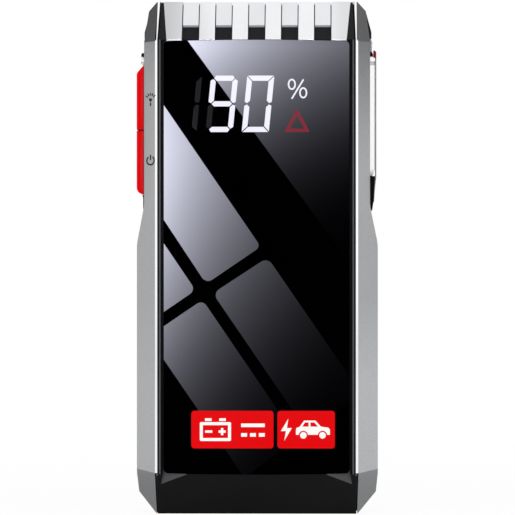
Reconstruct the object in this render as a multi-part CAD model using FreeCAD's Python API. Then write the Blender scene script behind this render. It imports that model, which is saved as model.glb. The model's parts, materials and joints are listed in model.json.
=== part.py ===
"""Jump starter pack: a hand-held battery pack for starting an engine, standing on its lower end.

Millimetres. +X is to the right when facing the glass, -Y is the front, +Z is up. The origin is at the
middle of the footprint, on the surface that the pack stands on.
"""

import FreeCAD, Part
import math
import os

Vec = FreeCAD.Vector

# Overall body. A name with DROP in it is a distance down from the top, for what belongs to the upper end.
HEIGHT = 188.0
FRONT_Y = -18.5
BACK_Y = 18.5
HALF_GRIP = 44.4
HALF_WAIST = 41.5
GRIP_TOP_DROP = 89.0
WAIST_FOOT_DROP = 75.0
FLANK_ROUND = 14.0
EDGE_ROUND = 0.6
WALL = 1.8
PARTING_Y = 8.0

# Front edge of the side rails: a narrow polished strip, then the slanted side
HALF_STRIP_IN = 36.05
STRIP_WIDTH = 1.05
STRIP_DROP = 1.0
SIDE_RUN_Y = 13.5
RAIL_GAP = 0.35
LEDGE_REACH = 2.5
LEDGE_THICK = 1.4

# Sloped top end
TOP_FOOT_DROP = 14.4
TOP_FACET_DROP = 14.95
TOP_RUN_Y = 11.0
STRIP_LEAN = 0.55
HALF_TOP = 36.9
TOP_CORNER_X = 40.0
TOP_CORNER_DROP = 3.2
TOP_CORNER_ROUND = 0.8

# Sloped chin and lower corners
CHIN_Z = 14.8
CHIN_RUN_Y = 7.9
HALF_CHIN = 36.9
CHIN_RAIL_SLIVER = 0.15
CHIN_SIDE_GAP = 0.35
CHIN_SHOULDER_RISE = 0.1
CHIN_SHOULDER_HALF = 37.2
LOW_CORNER_X = 43.7
LOW_CORNER_Z = 7.7
LOW_SHOULDER_Z = 14.5
LOW_FACET_IN_Z = 15.2
LOW_FACET_OUT_Z = 16.2
LOW_FACET_RUN_Y = 8.0

# Rear shell
SHELL_BACK_Y = 18.0
SHELL_INSET = 0.3
SHELL_CORNER_PROUD = 0.95
SHELL_CORNER_ROUND = 3.0
SHELL_CORNER_LOW_DROP = 12.5
SHELL_CORNER_HIGH_DROP = 10.5
SHELL_CORNER_FOOT_DROP = 15.0
REAR_BEVEL_X = 5.2
REAR_BEVEL_Y = 7.0
REAR_END_BEVEL_Z = 4.5
REAR_END_BEVEL_Y = 5.0
GROOVE_WIDTH = 1.4
GROOVE_DEPTH = 0.6
GROOVE_PITCH = 5.0
GROOVE_COUNT = 9
GROOVE_HALF = 27.0
GROOVE_MID_Z = 62.0

# Front bezel
BEZEL_SET_BACK = 0.2
BEZEL_DEPTH = 2.7
BEZEL_BEVEL = 0.6
BOTTOM_WALL = 2.2
END_WALL = 1.8

# Glass and its tape
GLASS_HALF = 33.85
GLASS_LOW_Z = 15.3
GLASS_TOP_DROP = 15.0
GLASS_CROWN = 0.45
GLASS_CORNER = 1.5
GLASS_THICK = 1.1
GLASS_SET_BACK = 0.1
GLASS_CLEAR = 0.12
TAPE_THICK = 0.2
TAPE_WIDTH = 3.5
TAPE_MARGIN = 0.4

# Small facets where the chin meets the lower corners of the glass
FACET_SIDE_X = 34.0
FACET_SIDE_Z = 17.0
FACET_LOW_X = 34.9
FACET_LOW_Z = 11.2
FACET_CREST_X = 25.2
FACET_DEPTH = 0.45

# Comb of ribs over the torch
BLOCK_COUNT = 11
BLOCK_PITCH = 6.04
BLOCK_GAP = 0.36
RIB_THICK = 1.2
RIB_FOOT_GAP = 0.15
COMB_EDGE_FOOT = 32.9
COMB_EDGE_TOP = 34.3
COMB_BACK_Y = 6.4
COMB_BAR = 3.2
COMB_CLEAR = 0.1

# Torch
WINDOW_FOOT_DROP = 8.9
WINDOW_SET_BACK = 0.1
WINDOW_CLEAR = 0.1
BED_WALL = 1.3
LENS_BASE = 1.1
LENS_MARGIN = 1.2
LENS_TOP_GAP = 2.0
REFLECTOR_DEPTH = 3.4
REFLECTOR_WALL = 0.9
REFLECTOR_INSET = 0.6
TORCH_BOARD_THICK = 1.2
TORCH_LED_SIZE = 3.0
TORCH_LED_CLEAR = 0.2

# Pockets for the side inserts
POCKET_DEPTH = 0.9
POCKET_MID_Y = -0.75
POCKET_HALF = 7.45
POCKET_LOW_DROP = 76.8
POCKET_TOP_DROP = 18.6
POCKET_ROUND = 2.4
POCKET_WALL = 1.8
BACKING_MARGIN = 1.2
INSERT_CLEAR = 0.1
TRIM_THICK = 0.8
CAP_LOW_DROP = 20.1
CAP_PROUD = 1.1
CAP_ROUND = 0.5

# Left insert: bright frame and two keys
KEY_FRAME_HALF = 6.7
KEY_FRAME_LOW_DROP = 71.0
KEY_FRAME_THICK = 0.4
KEY_FRAME_HEAD = 2.5
KEY_FRAME_HEAD_PROUD = 1.2
KEY_FRAME_HEAD_BEVEL = 0.15
KEY_FRAME_ROUND = 0.5
KEY_HALF = 6.6
KEY_PROUD = 2.9
KEY_LIFT = 0.05
KEY_TRAVEL = 0.4
KEY_TOP_DROP = 23.0
KEY_PARTING_DROP = 47.15
KEY_PARTING_GAP = 0.3
KEY_PARTING_ROUND = 0.3
KEY_LOW_DROP = 70.9
KEY_TOP_SLOPE = 3.3
KEY_LOW_SLOPE = 0.5
KEY_TOP_ROUND = 1.2
KEY_LOW_ROUND = 2.8
KEY_SIDE_ROUND = 1.4
STEM_HALF = 4.9
STEM_CLEAR = 0.3
STEM_ROUND = 0.7
STEM_END_MARGIN = 3.2
FLANGE_THICK = 0.8
FLANGE_LAP = 0.7
FLANGE_GAP = 0.3
LEFT_TAIL_PROUD = 0.4
LEFT_TAIL_HEAD_PROUD = 0.75
LEFT_TAIL_HEAD = 1.0
LEFT_TAIL_TOP_DROP = 71.0

# Key switches and their board
POST_RADIUS = 1.4
POST_LENGTH = 0.7
PLUNGER_RADIUS = 1.6
PLUNGER_OUT = 0.8
PLUNGER_IN = 0.4
PLUNGER_CLEAR = 0.06
PLUNGER_SPARE = 0.2
SWITCH_SIZE = 6.0
SWITCH_DEPTH = 3.0
SWITCH_ROUND = 0.5
KEY_BOARD_THICK = 1.2
KEY_BOARD_HALF = 5.0
KEY_BOARD_MARGIN = 5.0
KEY_BOARD_ROUND = 0.8

# Right insert: bright frame, port cover and its finger tab
PORT_FRAME_HALF = 6.85
PORT_FRAME_LOW_DROP = 64.0
PORT_FRAME_PROUD = 1.85
PORT_FRAME_END_BEVEL = 0.8
PORT_FRAME_FOOT_RISE = 2.6
PORT_FRAME_FOOT_DEPTH = 0.9
PORT_FRAME_GROOVE_DROP = 22.0
PORT_FRAME_GROOVE = 0.5
PORT_FRAME_GROOVE_DEPTH = 0.3
PORT_HALF = 4.4
PORT_LOW_DROP = 61.8
PORT_TOP_DROP = 26.4
PORT_ROUND = 1.0
COVER_THICK = 0.42
COVER_GAP = 0.06
COVER_HALF = 5.25
COVER_SIDE_CLEAR = 0.3
COVER_TOP_DROP = 20.3
COVER_LOW_DROP = 73.5
COVER_PLUG_DEPTH = 1.2
COVER_PLUG_RIM = 0.9
COVER_PLUG_CLEAR = 0.35
COVER_AXIS_PROUD = 0.2
COVER_AXIS_DROP = 74.4
COVER_KNUCKLE_RADIUS = 0.8
COVER_KNUCKLE_HALF = 3.8
COVER_WEB_TOP_DROP = 71.0
COVER_PIN_RADIUS = 0.5
COVER_PIN_REACH = 1.3
COVER_RECESS_CLEAR = 0.35
HINGE_CLEAR = 0.05
TAIL_LOW_PROUD = 0.8
TAIL_MID_PROUD = 1.22
TAIL_HIGH_PROUD = 1.7
TAIL_MID_DROP = 69.4
TAIL_SKIN_GAP = 0.12
CHEEK_LOW_PROUD = 0.8
CHEEK_MID_PROUD = 1.35
CHEEK_HIGH_PROUD = 1.8
CHEEK_MID_DROP = 73.0
TAB_TOP_DROP = 17.8
TAB_HALF = 4.0
TAB_INNER_PROUD = 1.25
TAB_SLOPE = 0.6
LAND_PROUD = 0.8
LAND_TOP_DROP = 13.9

# Case screws and feet
CASE_SCREW_X = 30.2
CASE_SCREW_LOW_Z = 18.0
CASE_SCREW_HIGH_DROP = 17.4
CASE_BOSS_RADIUS = 3.1
CASE_BOSS_MEET_Y = 4.0
CASE_SCREW_RADIUS = 1.25
CASE_SCREW_LENGTH = 22.0
CASE_SCREW_HEAD_RADIUS = 2.4
CASE_SCREW_HEAD = 1.6
SCREW_CLEAR = 0.15
SCREW_BITE_CLEAR = 0.02
HOLE_SPARE = 0.2
DRIVE_WIDTH = 0.6
DRIVE_DEPTH_SHARE = 0.6
DRIVE_LENGTH_SHARE = 0.7
PAD_RADIUS = 5.0
PAD_POCKET = 1.0
PAD_CLEAR = 0.1

# Display
DISPLAY_LEFT_X = -25.4
DISPLAY_RIGHT_X = 21.0
DISPLAY_LOW_DROP = 50.6
DISPLAY_HIGH_DROP = 24.2
DISPLAY_CLEAR = 0.3
DISPLAY_FACE_GAP = 0.15
DISPLAY_FLANGE = 1.6
DISPLAY_POST = 2.0
DISPLAY_BOARD_THICK = 1.2
DISPLAY_BOARD_LOW_DROP = 57.0
DISPLAY_BOARD_HIGH_DROP = 18.0
DISPLAY_BOARD_MARGIN = 1.4
DISPLAY_POST_INSET = 2.4
DISPLAY_POST_RADIUS = 1.9
SMALL_SCREW_RADIUS = 0.9
SMALL_SCREW_HEAD_RADIUS = 1.8
SMALL_SCREW_HEAD = 1.1
DISPLAY_SCREW_LENGTH = 3.0
BOARD_SCREW_LENGTH = 6.0
CHIP_HEIGHT = 1.4
DRIVER_CHIP = (-2.0, 38.0, 8.0, 6.0)

# Readout: slanted seven-segment digits as raised light pipes, and the last two segments of a third
DIGIT_HEIGHT = 20.6
DIGIT_WIDTH = 9.9
DIGIT_LOW_DROP = 47.9
DIGIT_SLANT = 0.1
DIGIT_RIGHT_X = 0.4
DIGIT_PITCH = 13.2
DIGIT_SEGMENTS = ("abcdefg", "abcdefg", "bc")
SEGMENT_WIDTH = 1.9
SEGMENT_GAP = 0.25
SEGMENT_RAISE = 0.3

# Main board and what it carries
BOARD_FRONT_Y = 2.4
BOARD_RIGHT_ROOM = 5.3
BOARD_LOW_DROP = 70.2
BOARD_HIGH_DROP = 21.5
BOARD_BOSS_MARGIN = 4.4
BOARD_BOSS_LOW_DROP = 66.5
BOARD_BOSS_HIGH_DROP = 25.0
BOARD_BOSS_RADIUS = 2.6
MOSFET_WIDTH = 9.0
MOSFET_HEIGHT = 9.5
MOSFET_THICK = 4.4
MOSFET_PITCH_X = 11.0
MOSFET_COLUMNS = 4
MOSFET_ROW_DROPS = (54.0, 41.0)
SPREADER_THICK = 1.5
SPREADER_MARGIN = 1.0
INDUCTOR_SIZE = 11.5
INDUCTOR_HEIGHT = 6.5
INDUCTOR_ROUND = 1.5
INDUCTOR_X = -8.0
INDUCTOR_DROPS = (55.0, 41.0)
CAPACITOR_RADIUS = 4.0
CAPACITOR_HEIGHT = 9.5
CAPACITOR_X = 12.0
CAPACITOR_DROPS = (61.0, 51.0, 41.0)
CONTROL_CHIPS = ((4.0, 30.0, 9.0, 9.0), (-14.0, 29.0, 6.0, 5.0), (0.0, 65.5, 5.0, 6.0))

# Ports on the right edge of the main board
PORT_SET_BACK = 0.2
USB_A_DROP = 33.6
USB_A_WIDTH = 13.1
USB_A_HEIGHT = 5.8
USB_A_LENGTH = 14.0
USB_A_SHELL = 0.4
USB_A_TONGUE = 1.9
USB_A_TONGUE_INSET = 0.9
USB_A_TONGUE_BASE = 3.0
USB_C_DROP = 47.0
USB_C_WIDTH = 9.0
USB_C_HEIGHT = 3.2
USB_C_LENGTH = 7.6
USB_C_SHELL = 0.3
USB_C_ROUND_SHARE = 0.96
USB_C_TONGUE = 0.7
USB_C_TONGUE_INSET = 1.1
USB_C_TONGUE_BASE = 1.5
DC_JACK_DROP = 57.3
DC_JACK_WIDTH = 8.4
DC_JACK_HEIGHT = 7.2
DC_JACK_LENGTH = 12.0
DC_JACK_BORE = 2.8
DC_JACK_DEPTH = 9.5
DC_PIN_RADIUS = 1.0
DC_PIN_SET_BACK = 1.0

# Battery
CELL_COUNT = 4
CELL_THICK = 6.7
CELL_PAD_THICK = 0.5
CELL_SIDE_ROOM = 5.2
CELL_LOW_Z = 30.0
CELL_HIGH_DROP = 75.0
CELL_ROUND = 2.4
CELL_FRONT_PAD = 1.8
PAD_HALF_X = 26.0
PAD_INSET_Z = 8.0
CELL_STOP_HALF = 20.0
CELL_STOP_THICK = 1.6
CELL_STOP_REACH = 7.0
TAB_X = 17.0
TAB_WIDTH = 11.0
TAB_THICK = 0.5
TAB_HEIGHT = 3.2
BATTERY_BOARD_THICK = 1.2
BATTERY_BOARD_INSET = 1.5
BATTERY_BOARD_EAR_ROOM = 1.3
BATTERY_BOARD_EAR_HALF = 3.0

# Jump socket, its contacts and its cover
SOCKET_MID_Y = -1.0
SOCKET_HALF_X = 12.6
SOCKET_HALF_Y = 6.4
SOCKET_TOP_Z = 17.0
SOCKET_FACE_Z = 3.2
SOCKET_CLEAR = 0.1
SOCKET_ROUND = 2.0
SOCKET_FLANGE = 1.8
SOCKET_FLANGE_THICK = 2.0
SEAT_Z = 4.6
SEAT_MARGIN = 4.2
CONTACT_HALF_PITCH = 6.0
CONTACT_BORE = 2.5
CONTACT_BORE_LENGTH = 12.0
CONTACT_OUTER = 3.3
CONTACT_CLEAR = 0.02
CONTACT_MOUTH = 2.9
CONTACT_MOUTH_DEPTH = 0.5
CUP_RADIUS = 2.4
CUP_LENGTH = 1.5
FLAP_HALF = 14.6
FLAP_CLEAR = 0.3
FLAP_FRONT_Y = -9.1
FLAP_AXIS_Y = 6.2
FLAP_AXIS_Z = 1.55
FLAP_LOW_Z = 0.5
FLAP_THICK = 1.5
FLAP_KNUCKLE_RADIUS = 1.05
FLAP_PIN_RADIUS = 0.6
FLAP_PIN_REACH = 1.3
FLAP_ROOF_Z = 2.9
FLAP_PLUG_HEIGHT = 0.6
FLAP_PLUG_INSET = 1.6
FLAP_PLUG_BACK_INSET = 2.6
FLAP_NOTCH_HALF = 5.0
FLAP_NOTCH_DEPTH = 1.5
FLAP_NOTCH_HEIGHT = 0.6

# Power leads, torch wires and display ribbon
LEAD_RADIUS = 1.6
LEAD_BEND = 3.6
LEAD_LEVEL_Z = 26.2
LEAD_SIDE_ROOM = 1.35
WIRE_RADIUS = 0.55
WIRE_BEND = 2.2
WIRE_HALF_PITCH = 1.2
WIRE_LEVEL_Y = -1.5
WIRE_START_U = 8.0
WIRE_END_DROP = 24.0
RIBBON_THICK = 0.25
RIBBON_LEFT_X = -20.0
RIBBON_RIGHT_X = -11.0
RIBBON_LAP = 4.0
RIBBON_LEVEL_DROP = 62.5

# Reach of a cutting block, and how far one cut or added boss goes past the face that it meets
FAR = 80.0
OVER = 1.0
SINK = 0.5
SIDE_REACH = 6.0


# Helpers


def box(x0, x1, y0, y1, z0, z1):
    """Block between two corners."""
    return Part.makeBox(x1 - x0, y1 - y0, z1 - z0, Vec(x0, y0, z0))


def rod(start, direction, radius, length):
    """Round bar from a point along a direction."""
    return Part.makeCylinder(radius, length, Vec(*start), Vec(*direction))


def fuse(first, *others):
    """One solid from touching or crossing solids."""
    return first.fuse(list(others)).removeSplitter()


def mirror_x(shape):
    """The same thing on the other side."""
    return shape.mirror(Vec(0, 0, 0), Vec(1, 0, 0))


def corner_arc(before, corner, after, radius):
    """Start, middle and end of the round that replaces one corner of an outline."""
    u = (before - corner).normalize()
    v = (after - corner).normalize()
    half = 0.5 * math.acos(max(-1.0, min(1.0, u.dot(v))))
    reach = radius / math.tan(half)
    start = corner + u * reach
    end = corner + v * reach
    centre = corner + (u + v).normalize() * (radius / math.sin(half))
    middle = centre + (corner - centre).normalize() * radius
    return start, middle, end


def outline(points, radii):
    """Closed wire through points, with a round of its own radius at each corner, where 0 is sharp."""
    count = len(points)
    stops = []
    for i, point in enumerate(points):
        if radii[i] > 0:
            stops.append(corner_arc(points[i - 1], point, points[(i + 1) % count], radii[i]))
        else:
            stops.append((point, point, point))
    edges = []
    for i, (start, middle, end) in enumerate(stops):
        if radii[i] > 0:
            edges.append(Part.Arc(start, middle, end).toShape())
        following = stops[(i + 1) % count][0]
        if end.distanceToPoint(following) > 1e-6:
            edges.append(Part.LineSegment(end, following).toShape())
    return Part.Wire(edges)


def prism_y(points, y0, y1, radii=None):
    """Outline given as (x, z) pairs, from one depth to another."""
    corners = [Vec(x, y0, z) for x, z in points]
    wire = outline(corners, radii or [0] * len(corners))
    return Part.Face(wire).extrude(Vec(0, y1 - y0, 0))


def prism_x(points, x0, x1, radii=None):
    """Outline given as (y, z) pairs, from one side to another."""
    corners = [Vec(x0, y, z) for y, z in points]
    wire = outline(corners, radii or [0] * len(corners))
    return Part.Face(wire).extrude(Vec(x1 - x0, 0, 0))


def prism_z(points, z0, z1, radii=None):
    """Outline given as (x, y) pairs, from one height to another."""
    corners = [Vec(x, y, z0) for x, y in points]
    wire = outline(corners, radii or [0] * len(corners))
    return Part.Face(wire).extrude(Vec(0, 0, z1 - z0))


def rounded_plate_x(x0, x1, half, z0, z1, radius):
    """Plate facing sideways about the inserts' middle line, with four rounded corners."""
    low, high = POCKET_MID_Y - half, POCKET_MID_Y + half
    return prism_x([(low, z0), (high, z0), (high, z1), (low, z1)], x0, x1, [radius] * 4)


def trim_beyond(shape, point, normal):
    """Cut off everything on the far side of a plane."""
    reach = 4 * FAR
    block = Part.makeBox(2 * reach, 2 * reach, reach, Vec(-reach, -reach, 0))
    turn = FreeCAD.Rotation(Vec(0, 0, 1), Vec(*normal))
    placed = block.copy()
    placed.Placement = FreeCAD.Placement(Vec(*point), turn).multiply(block.Placement)
    return shape.cut(placed)


def plane_through(a, b, c):
    """Point and unit normal of the plane through three points, with the normal facing +X."""
    normal = (Vec(*b) - Vec(*a)).cross(Vec(*c) - Vec(*a)).normalize()
    return a, tuple(normal if normal.x > 0 else normal * -1)


def strap(points, thickness, x0, x1):
    """Flat strap that follows (y, z) points, as wide as from x0 to x1."""
    flat = [Vec(0, y, z) for y, z in points]
    near = []
    far = []
    for i, point in enumerate(flat):
        behind = (point - flat[i - 1]).normalize() if i > 0 else None
        ahead = (flat[i + 1] - point).normalize() if i + 1 < len(flat) else behind
        along = (ahead + (behind or ahead)).normalize()
        side = Vec(0, -along.z, along.y)
        spread = thickness / 2 / along.dot(ahead)
        near.append(point + side * spread)
        far.append(point - side * spread)
    return prism_x([(p.y, p.z) for p in near + far[::-1]], x0, x1)


def tube(points, radius, bend):
    """Round lead along straight runs joined by tangent arcs."""
    stops = [Vec(*p) for p in points]
    edges = []
    here = stops[0]
    for i in range(1, len(stops) - 1):
        start, middle, end = corner_arc(stops[i - 1], stops[i], stops[i + 1], bend)
        edges.append(Part.LineSegment(here, start).toShape())
        edges.append(Part.Arc(start, middle, end).toShape())
        here = end
    edges.append(Part.LineSegment(here, stops[-1]).toShape())
    path = Part.Wire(edges)
    first = (stops[1] - stops[0]).normalize()
    circle = Part.Wire(Part.Circle(stops[0], first, radius).toShape())
    lead = path.makePipeShell([circle], True, False)
    full = math.pi * radius**2 * path.Length
    print("lead %.1f long, bend %.1f, volume ratio %.4f" % (path.Length, bend, abs(lead.Volume) / full))
    return lead


# Heights of the upper end

GRIP_TOP_Z = HEIGHT - GRIP_TOP_DROP
WAIST_FOOT_Z = HEIGHT - WAIST_FOOT_DROP
TOP_FOOT_Z = HEIGHT - TOP_FOOT_DROP
TOP_FACET_Z = HEIGHT - TOP_FACET_DROP
TOP_CORNER_Z = HEIGHT - TOP_CORNER_DROP
SHELL_CORNER_LOW_Z = HEIGHT - SHELL_CORNER_LOW_DROP
SHELL_CORNER_HIGH_Z = HEIGHT - SHELL_CORNER_HIGH_DROP
SHELL_CORNER_FOOT_Z = HEIGHT - SHELL_CORNER_FOOT_DROP
GLASS_TOP_Z = HEIGHT - GLASS_TOP_DROP
WINDOW_FOOT_Z = HEIGHT - WINDOW_FOOT_DROP
POCKET_LOW_Z = HEIGHT - POCKET_LOW_DROP
POCKET_TOP_Z = HEIGHT - POCKET_TOP_DROP
CAP_LOW_Z = HEIGHT - CAP_LOW_DROP
KEY_FRAME_LOW_Z = HEIGHT - KEY_FRAME_LOW_DROP
KEY_TOP_Z = HEIGHT - KEY_TOP_DROP
KEY_PARTING_Z = HEIGHT - KEY_PARTING_DROP
KEY_LOW_Z = HEIGHT - KEY_LOW_DROP
LEFT_TAIL_TOP_Z = HEIGHT - LEFT_TAIL_TOP_DROP
PORT_FRAME_LOW_Z = HEIGHT - PORT_FRAME_LOW_DROP
PORT_LOW_Z = HEIGHT - PORT_LOW_DROP
PORT_TOP_Z = HEIGHT - PORT_TOP_DROP
COVER_TOP_Z = HEIGHT - COVER_TOP_DROP
COVER_LOW_Z = HEIGHT - COVER_LOW_DROP
COVER_AXIS_Z = HEIGHT - COVER_AXIS_DROP
COVER_WEB_TOP_Z = HEIGHT - COVER_WEB_TOP_DROP
TAIL_MID_Z = HEIGHT - TAIL_MID_DROP
CHEEK_MID_Z = HEIGHT - CHEEK_MID_DROP
PORT_FRAME_GROOVE_Z = HEIGHT - PORT_FRAME_GROOVE_DROP
TAB_TOP_Z = HEIGHT - TAB_TOP_DROP
LAND_TOP_Z = HEIGHT - LAND_TOP_DROP
CASE_SCREW_HIGH_Z = HEIGHT - CASE_SCREW_HIGH_DROP
DISPLAY_LOW_Z = HEIGHT - DISPLAY_LOW_DROP
DISPLAY_HIGH_Z = HEIGHT - DISPLAY_HIGH_DROP
DISPLAY_BOARD_LOW_Z = HEIGHT - DISPLAY_BOARD_LOW_DROP
DISPLAY_BOARD_HIGH_Z = HEIGHT - DISPLAY_BOARD_HIGH_DROP
DIGIT_LOW_Z = HEIGHT - DIGIT_LOW_DROP
BOARD_LOW_Z = HEIGHT - BOARD_LOW_DROP
BOARD_HIGH_Z = HEIGHT - BOARD_HIGH_DROP
BOARD_BOSS_LOW_Z = HEIGHT - BOARD_BOSS_LOW_DROP
BOARD_BOSS_HIGH_Z = HEIGHT - BOARD_BOSS_HIGH_DROP
USB_A_Z = HEIGHT - USB_A_DROP
USB_C_Z = HEIGHT - USB_C_DROP
DC_JACK_Z = HEIGHT - DC_JACK_DROP
CELL_HIGH_Z = HEIGHT - CELL_HIGH_DROP
WIRE_END_Z = HEIGHT - WIRE_END_DROP
RIBBON_LEVEL_Z = HEIGHT - RIBBON_LEVEL_DROP


# Planes and places that several sub-parts share

HALF_STRIP_OUT = HALF_STRIP_IN + STRIP_WIDTH
STRIP_BACK_Y = FRONT_Y + STRIP_DROP
SIDE_RUN_X = HALF_GRIP - HALF_STRIP_OUT
WAIST_EDGE_Y = STRIP_BACK_Y + (HALF_WAIST - HALF_STRIP_OUT) * SIDE_RUN_Y / SIDE_RUN_X
TOP_RISE = HEIGHT - TOP_FOOT_Z
TOP_LENGTH = math.hypot(TOP_RUN_Y, TOP_RISE)
CHIN_LENGTH = math.hypot(CHIN_RUN_Y, CHIN_Z)
CHIN_SHOULDER_Z = CHIN_Z + CHIN_SHOULDER_RISE

BEZEL_Y = FRONT_Y + BEZEL_SET_BACK
BEZEL_INNER_Y = BEZEL_Y + BEZEL_DEPTH
BEZEL_HALF = HALF_STRIP_IN - RAIL_GAP
GLASS_Y = FRONT_Y + GLASS_SET_BACK
GLASS_BACK_Y = GLASS_Y + GLASS_THICK
GLASS_SEAT_Y = GLASS_BACK_Y + TAPE_THICK

INNER_HALF = min(HALF_WAIST, HALF_GRIP) - WALL
CELL_HALF = INNER_HALF - CELL_SIDE_ROOM
BATTERY_BOARD_HALF = CELL_HALF - BATTERY_BOARD_INSET
BATTERY_BOARD_EAR = INNER_HALF - BATTERY_BOARD_EAR_ROOM
LEAD_SIDE_X = INNER_HALF - LEAD_SIDE_ROOM - LEAD_RADIUS
SIDE_OUT = HALF_WAIST + SIDE_REACH
POCKET_FLOOR = HALF_WAIST - POCKET_DEPTH
COVER_AXIS_X = HALF_WAIST + COVER_AXIS_PROUD
POCKET_INNER = POCKET_FLOOR - POCKET_WALL
SHELL_INNER_Y = SHELL_BACK_Y - WALL
PAD_FLOOR_Y = SHELL_BACK_Y - PAD_POCKET
CASE_SCREW_SEAT_Y = PAD_FLOOR_Y - SCREW_CLEAR - CASE_SCREW_HEAD

KEY_SPANS = {
    "power": (KEY_LOW_Z, KEY_PARTING_Z - KEY_PARTING_GAP / 2),
    "light": (KEY_PARTING_Z + KEY_PARTING_GAP / 2, KEY_TOP_Z),
}
FLANGE_OUT = POCKET_INNER - FLANGE_GAP
FLANGE_IN = FLANGE_OUT - FLANGE_THICK
PLUNGER_END = FLANGE_IN - POST_LENGTH
SWITCH_OUT = PLUNGER_END - PLUNGER_OUT
SWITCH_IN = SWITCH_OUT - SWITCH_DEPTH
KEY_BOARD_IN = SWITCH_IN - KEY_BOARD_THICK

BOARD_THICK = CASE_BOSS_MEET_Y - BOARD_FRONT_Y
BOARD_BACK_Y = CASE_BOSS_MEET_Y
BOARD_RIGHT_X = POCKET_INNER - BOARD_RIGHT_ROOM
BOARD_BOSS_X = KEY_BOARD_IN - BOARD_BOSS_MARGIN
DISPLAY_BOARD_Y = BEZEL_INNER_Y + DISPLAY_POST
DISPLAY_BOARD_BACK_Y = DISPLAY_BOARD_Y + DISPLAY_BOARD_THICK
DISPLAY_FACE_Y = GLASS_SEAT_Y + DISPLAY_FACE_GAP

CELL_FRONT_Y = BEZEL_INNER_Y + CELL_FRONT_PAD
CELL_STEP = CELL_THICK + CELL_PAD_THICK
CELL_BACK_Y = CELL_FRONT_Y + CELL_COUNT * CELL_STEP - CELL_PAD_THICK
BATTERY_BOARD_Z = CELL_HIGH_Z + TAB_HEIGHT

LENS_INNER_N = -(RIB_THICK + BED_WALL + LENS_BASE)
REFLECTOR_INNER_N = LENS_INNER_N - REFLECTOR_DEPTH
TORCH_BACK_N = REFLECTOR_INNER_N - TORCH_BOARD_THICK
BLOCK_HALF = (BLOCK_PITCH - BLOCK_GAP) / 2
BLOCK_CENTRES = [(i - (BLOCK_COUNT - 1) / 2) * BLOCK_PITCH for i in range(BLOCK_COUNT)]
RIB_CENTRES = BLOCK_CENTRES[0::2]
WINDOW_CENTRES = BLOCK_CENTRES[1::2]
WINDOW_U0 = (WINDOW_FOOT_Z - TOP_FOOT_Z) * TOP_LENGTH / TOP_RISE
WINDOW_U1 = TOP_LENGTH - BLOCK_GAP / 2

CONTACT_LOW_Z = SOCKET_FACE_Z + CONTACT_MOUTH_DEPTH
CONTACT_CUP_Z = SOCKET_TOP_Z + CUP_LENGTH


def slope_point(u, n):
    """(y, z) of a place on the sloped top end: u up the slope from its foot, n out of its surface."""
    y = FRONT_Y + (u * TOP_RUN_Y - n * TOP_RISE) / TOP_LENGTH
    z = TOP_FOOT_Z + (u * TOP_RISE + n * TOP_RUN_Y) / TOP_LENGTH
    return y, z


def slope_point_at(z, n):
    """(y, z) of the place at a height and a depth under the sloped surface."""
    u = ((z - TOP_FOOT_Z) * TOP_LENGTH - n * TOP_RUN_Y) / TOP_RISE
    return slope_point(u, n)


def chin_point_at(z, inset):
    """(y, z) of the place at a height and a depth under the chin."""
    return FRONT_Y + (CHIN_Z - z) * CHIN_RUN_Y / CHIN_Z + inset * CHIN_LENGTH / CHIN_Z, z


def on_slope(shape):
    """Set a shape made flat, with Y up the slope and Z out of it, on the sloped top end."""
    turn = FreeCAD.Rotation(Vec(1, 0, 0), math.degrees(math.atan2(TOP_RISE, TOP_RUN_Y)))
    placed = shape.copy()
    placed.Placement = FreeCAD.Placement(Vec(0, FRONT_Y, TOP_FOOT_Z), turn).multiply(shape.Placement)
    return placed


def body_prism(y0, y1, inset=0.0, proud=0.0, end_inset=0.0):
    """Front outline of the body through a depth, moved in at the sides and at the ends."""
    waist = HALF_WAIST - inset
    grip = HALF_GRIP - inset
    right = [
        (HALF_CHIN - inset, end_inset, 0),
        (LOW_CORNER_X - inset, LOW_CORNER_Z, EDGE_ROUND),
        (grip, LOW_SHOULDER_Z, EDGE_ROUND),
        (grip, GRIP_TOP_Z, FLANK_ROUND),
        (waist, WAIST_FOOT_Z, FLANK_ROUND),
    ]
    if proud:
        right.append((waist, SHELL_CORNER_FOOT_Z, 0))
        right.append((waist + proud, SHELL_CORNER_LOW_Z, 0))
        right.append((waist + proud, SHELL_CORNER_HIGH_Z, SHELL_CORNER_ROUND))
    else:
        right.append((waist, TOP_FACET_Z, 0))
    right.append((TOP_CORNER_X - inset + proud / 2, TOP_CORNER_Z, TOP_CORNER_ROUND))
    right.append((HALF_TOP - inset + proud / 2, HEIGHT - end_inset, 0))
    ring = right + [(-x, z, r) for x, z, r in reversed(right)]
    return prism_y([(x, z) for x, z, r in ring], y0, y1, [r for x, z, r in ring])


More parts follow.
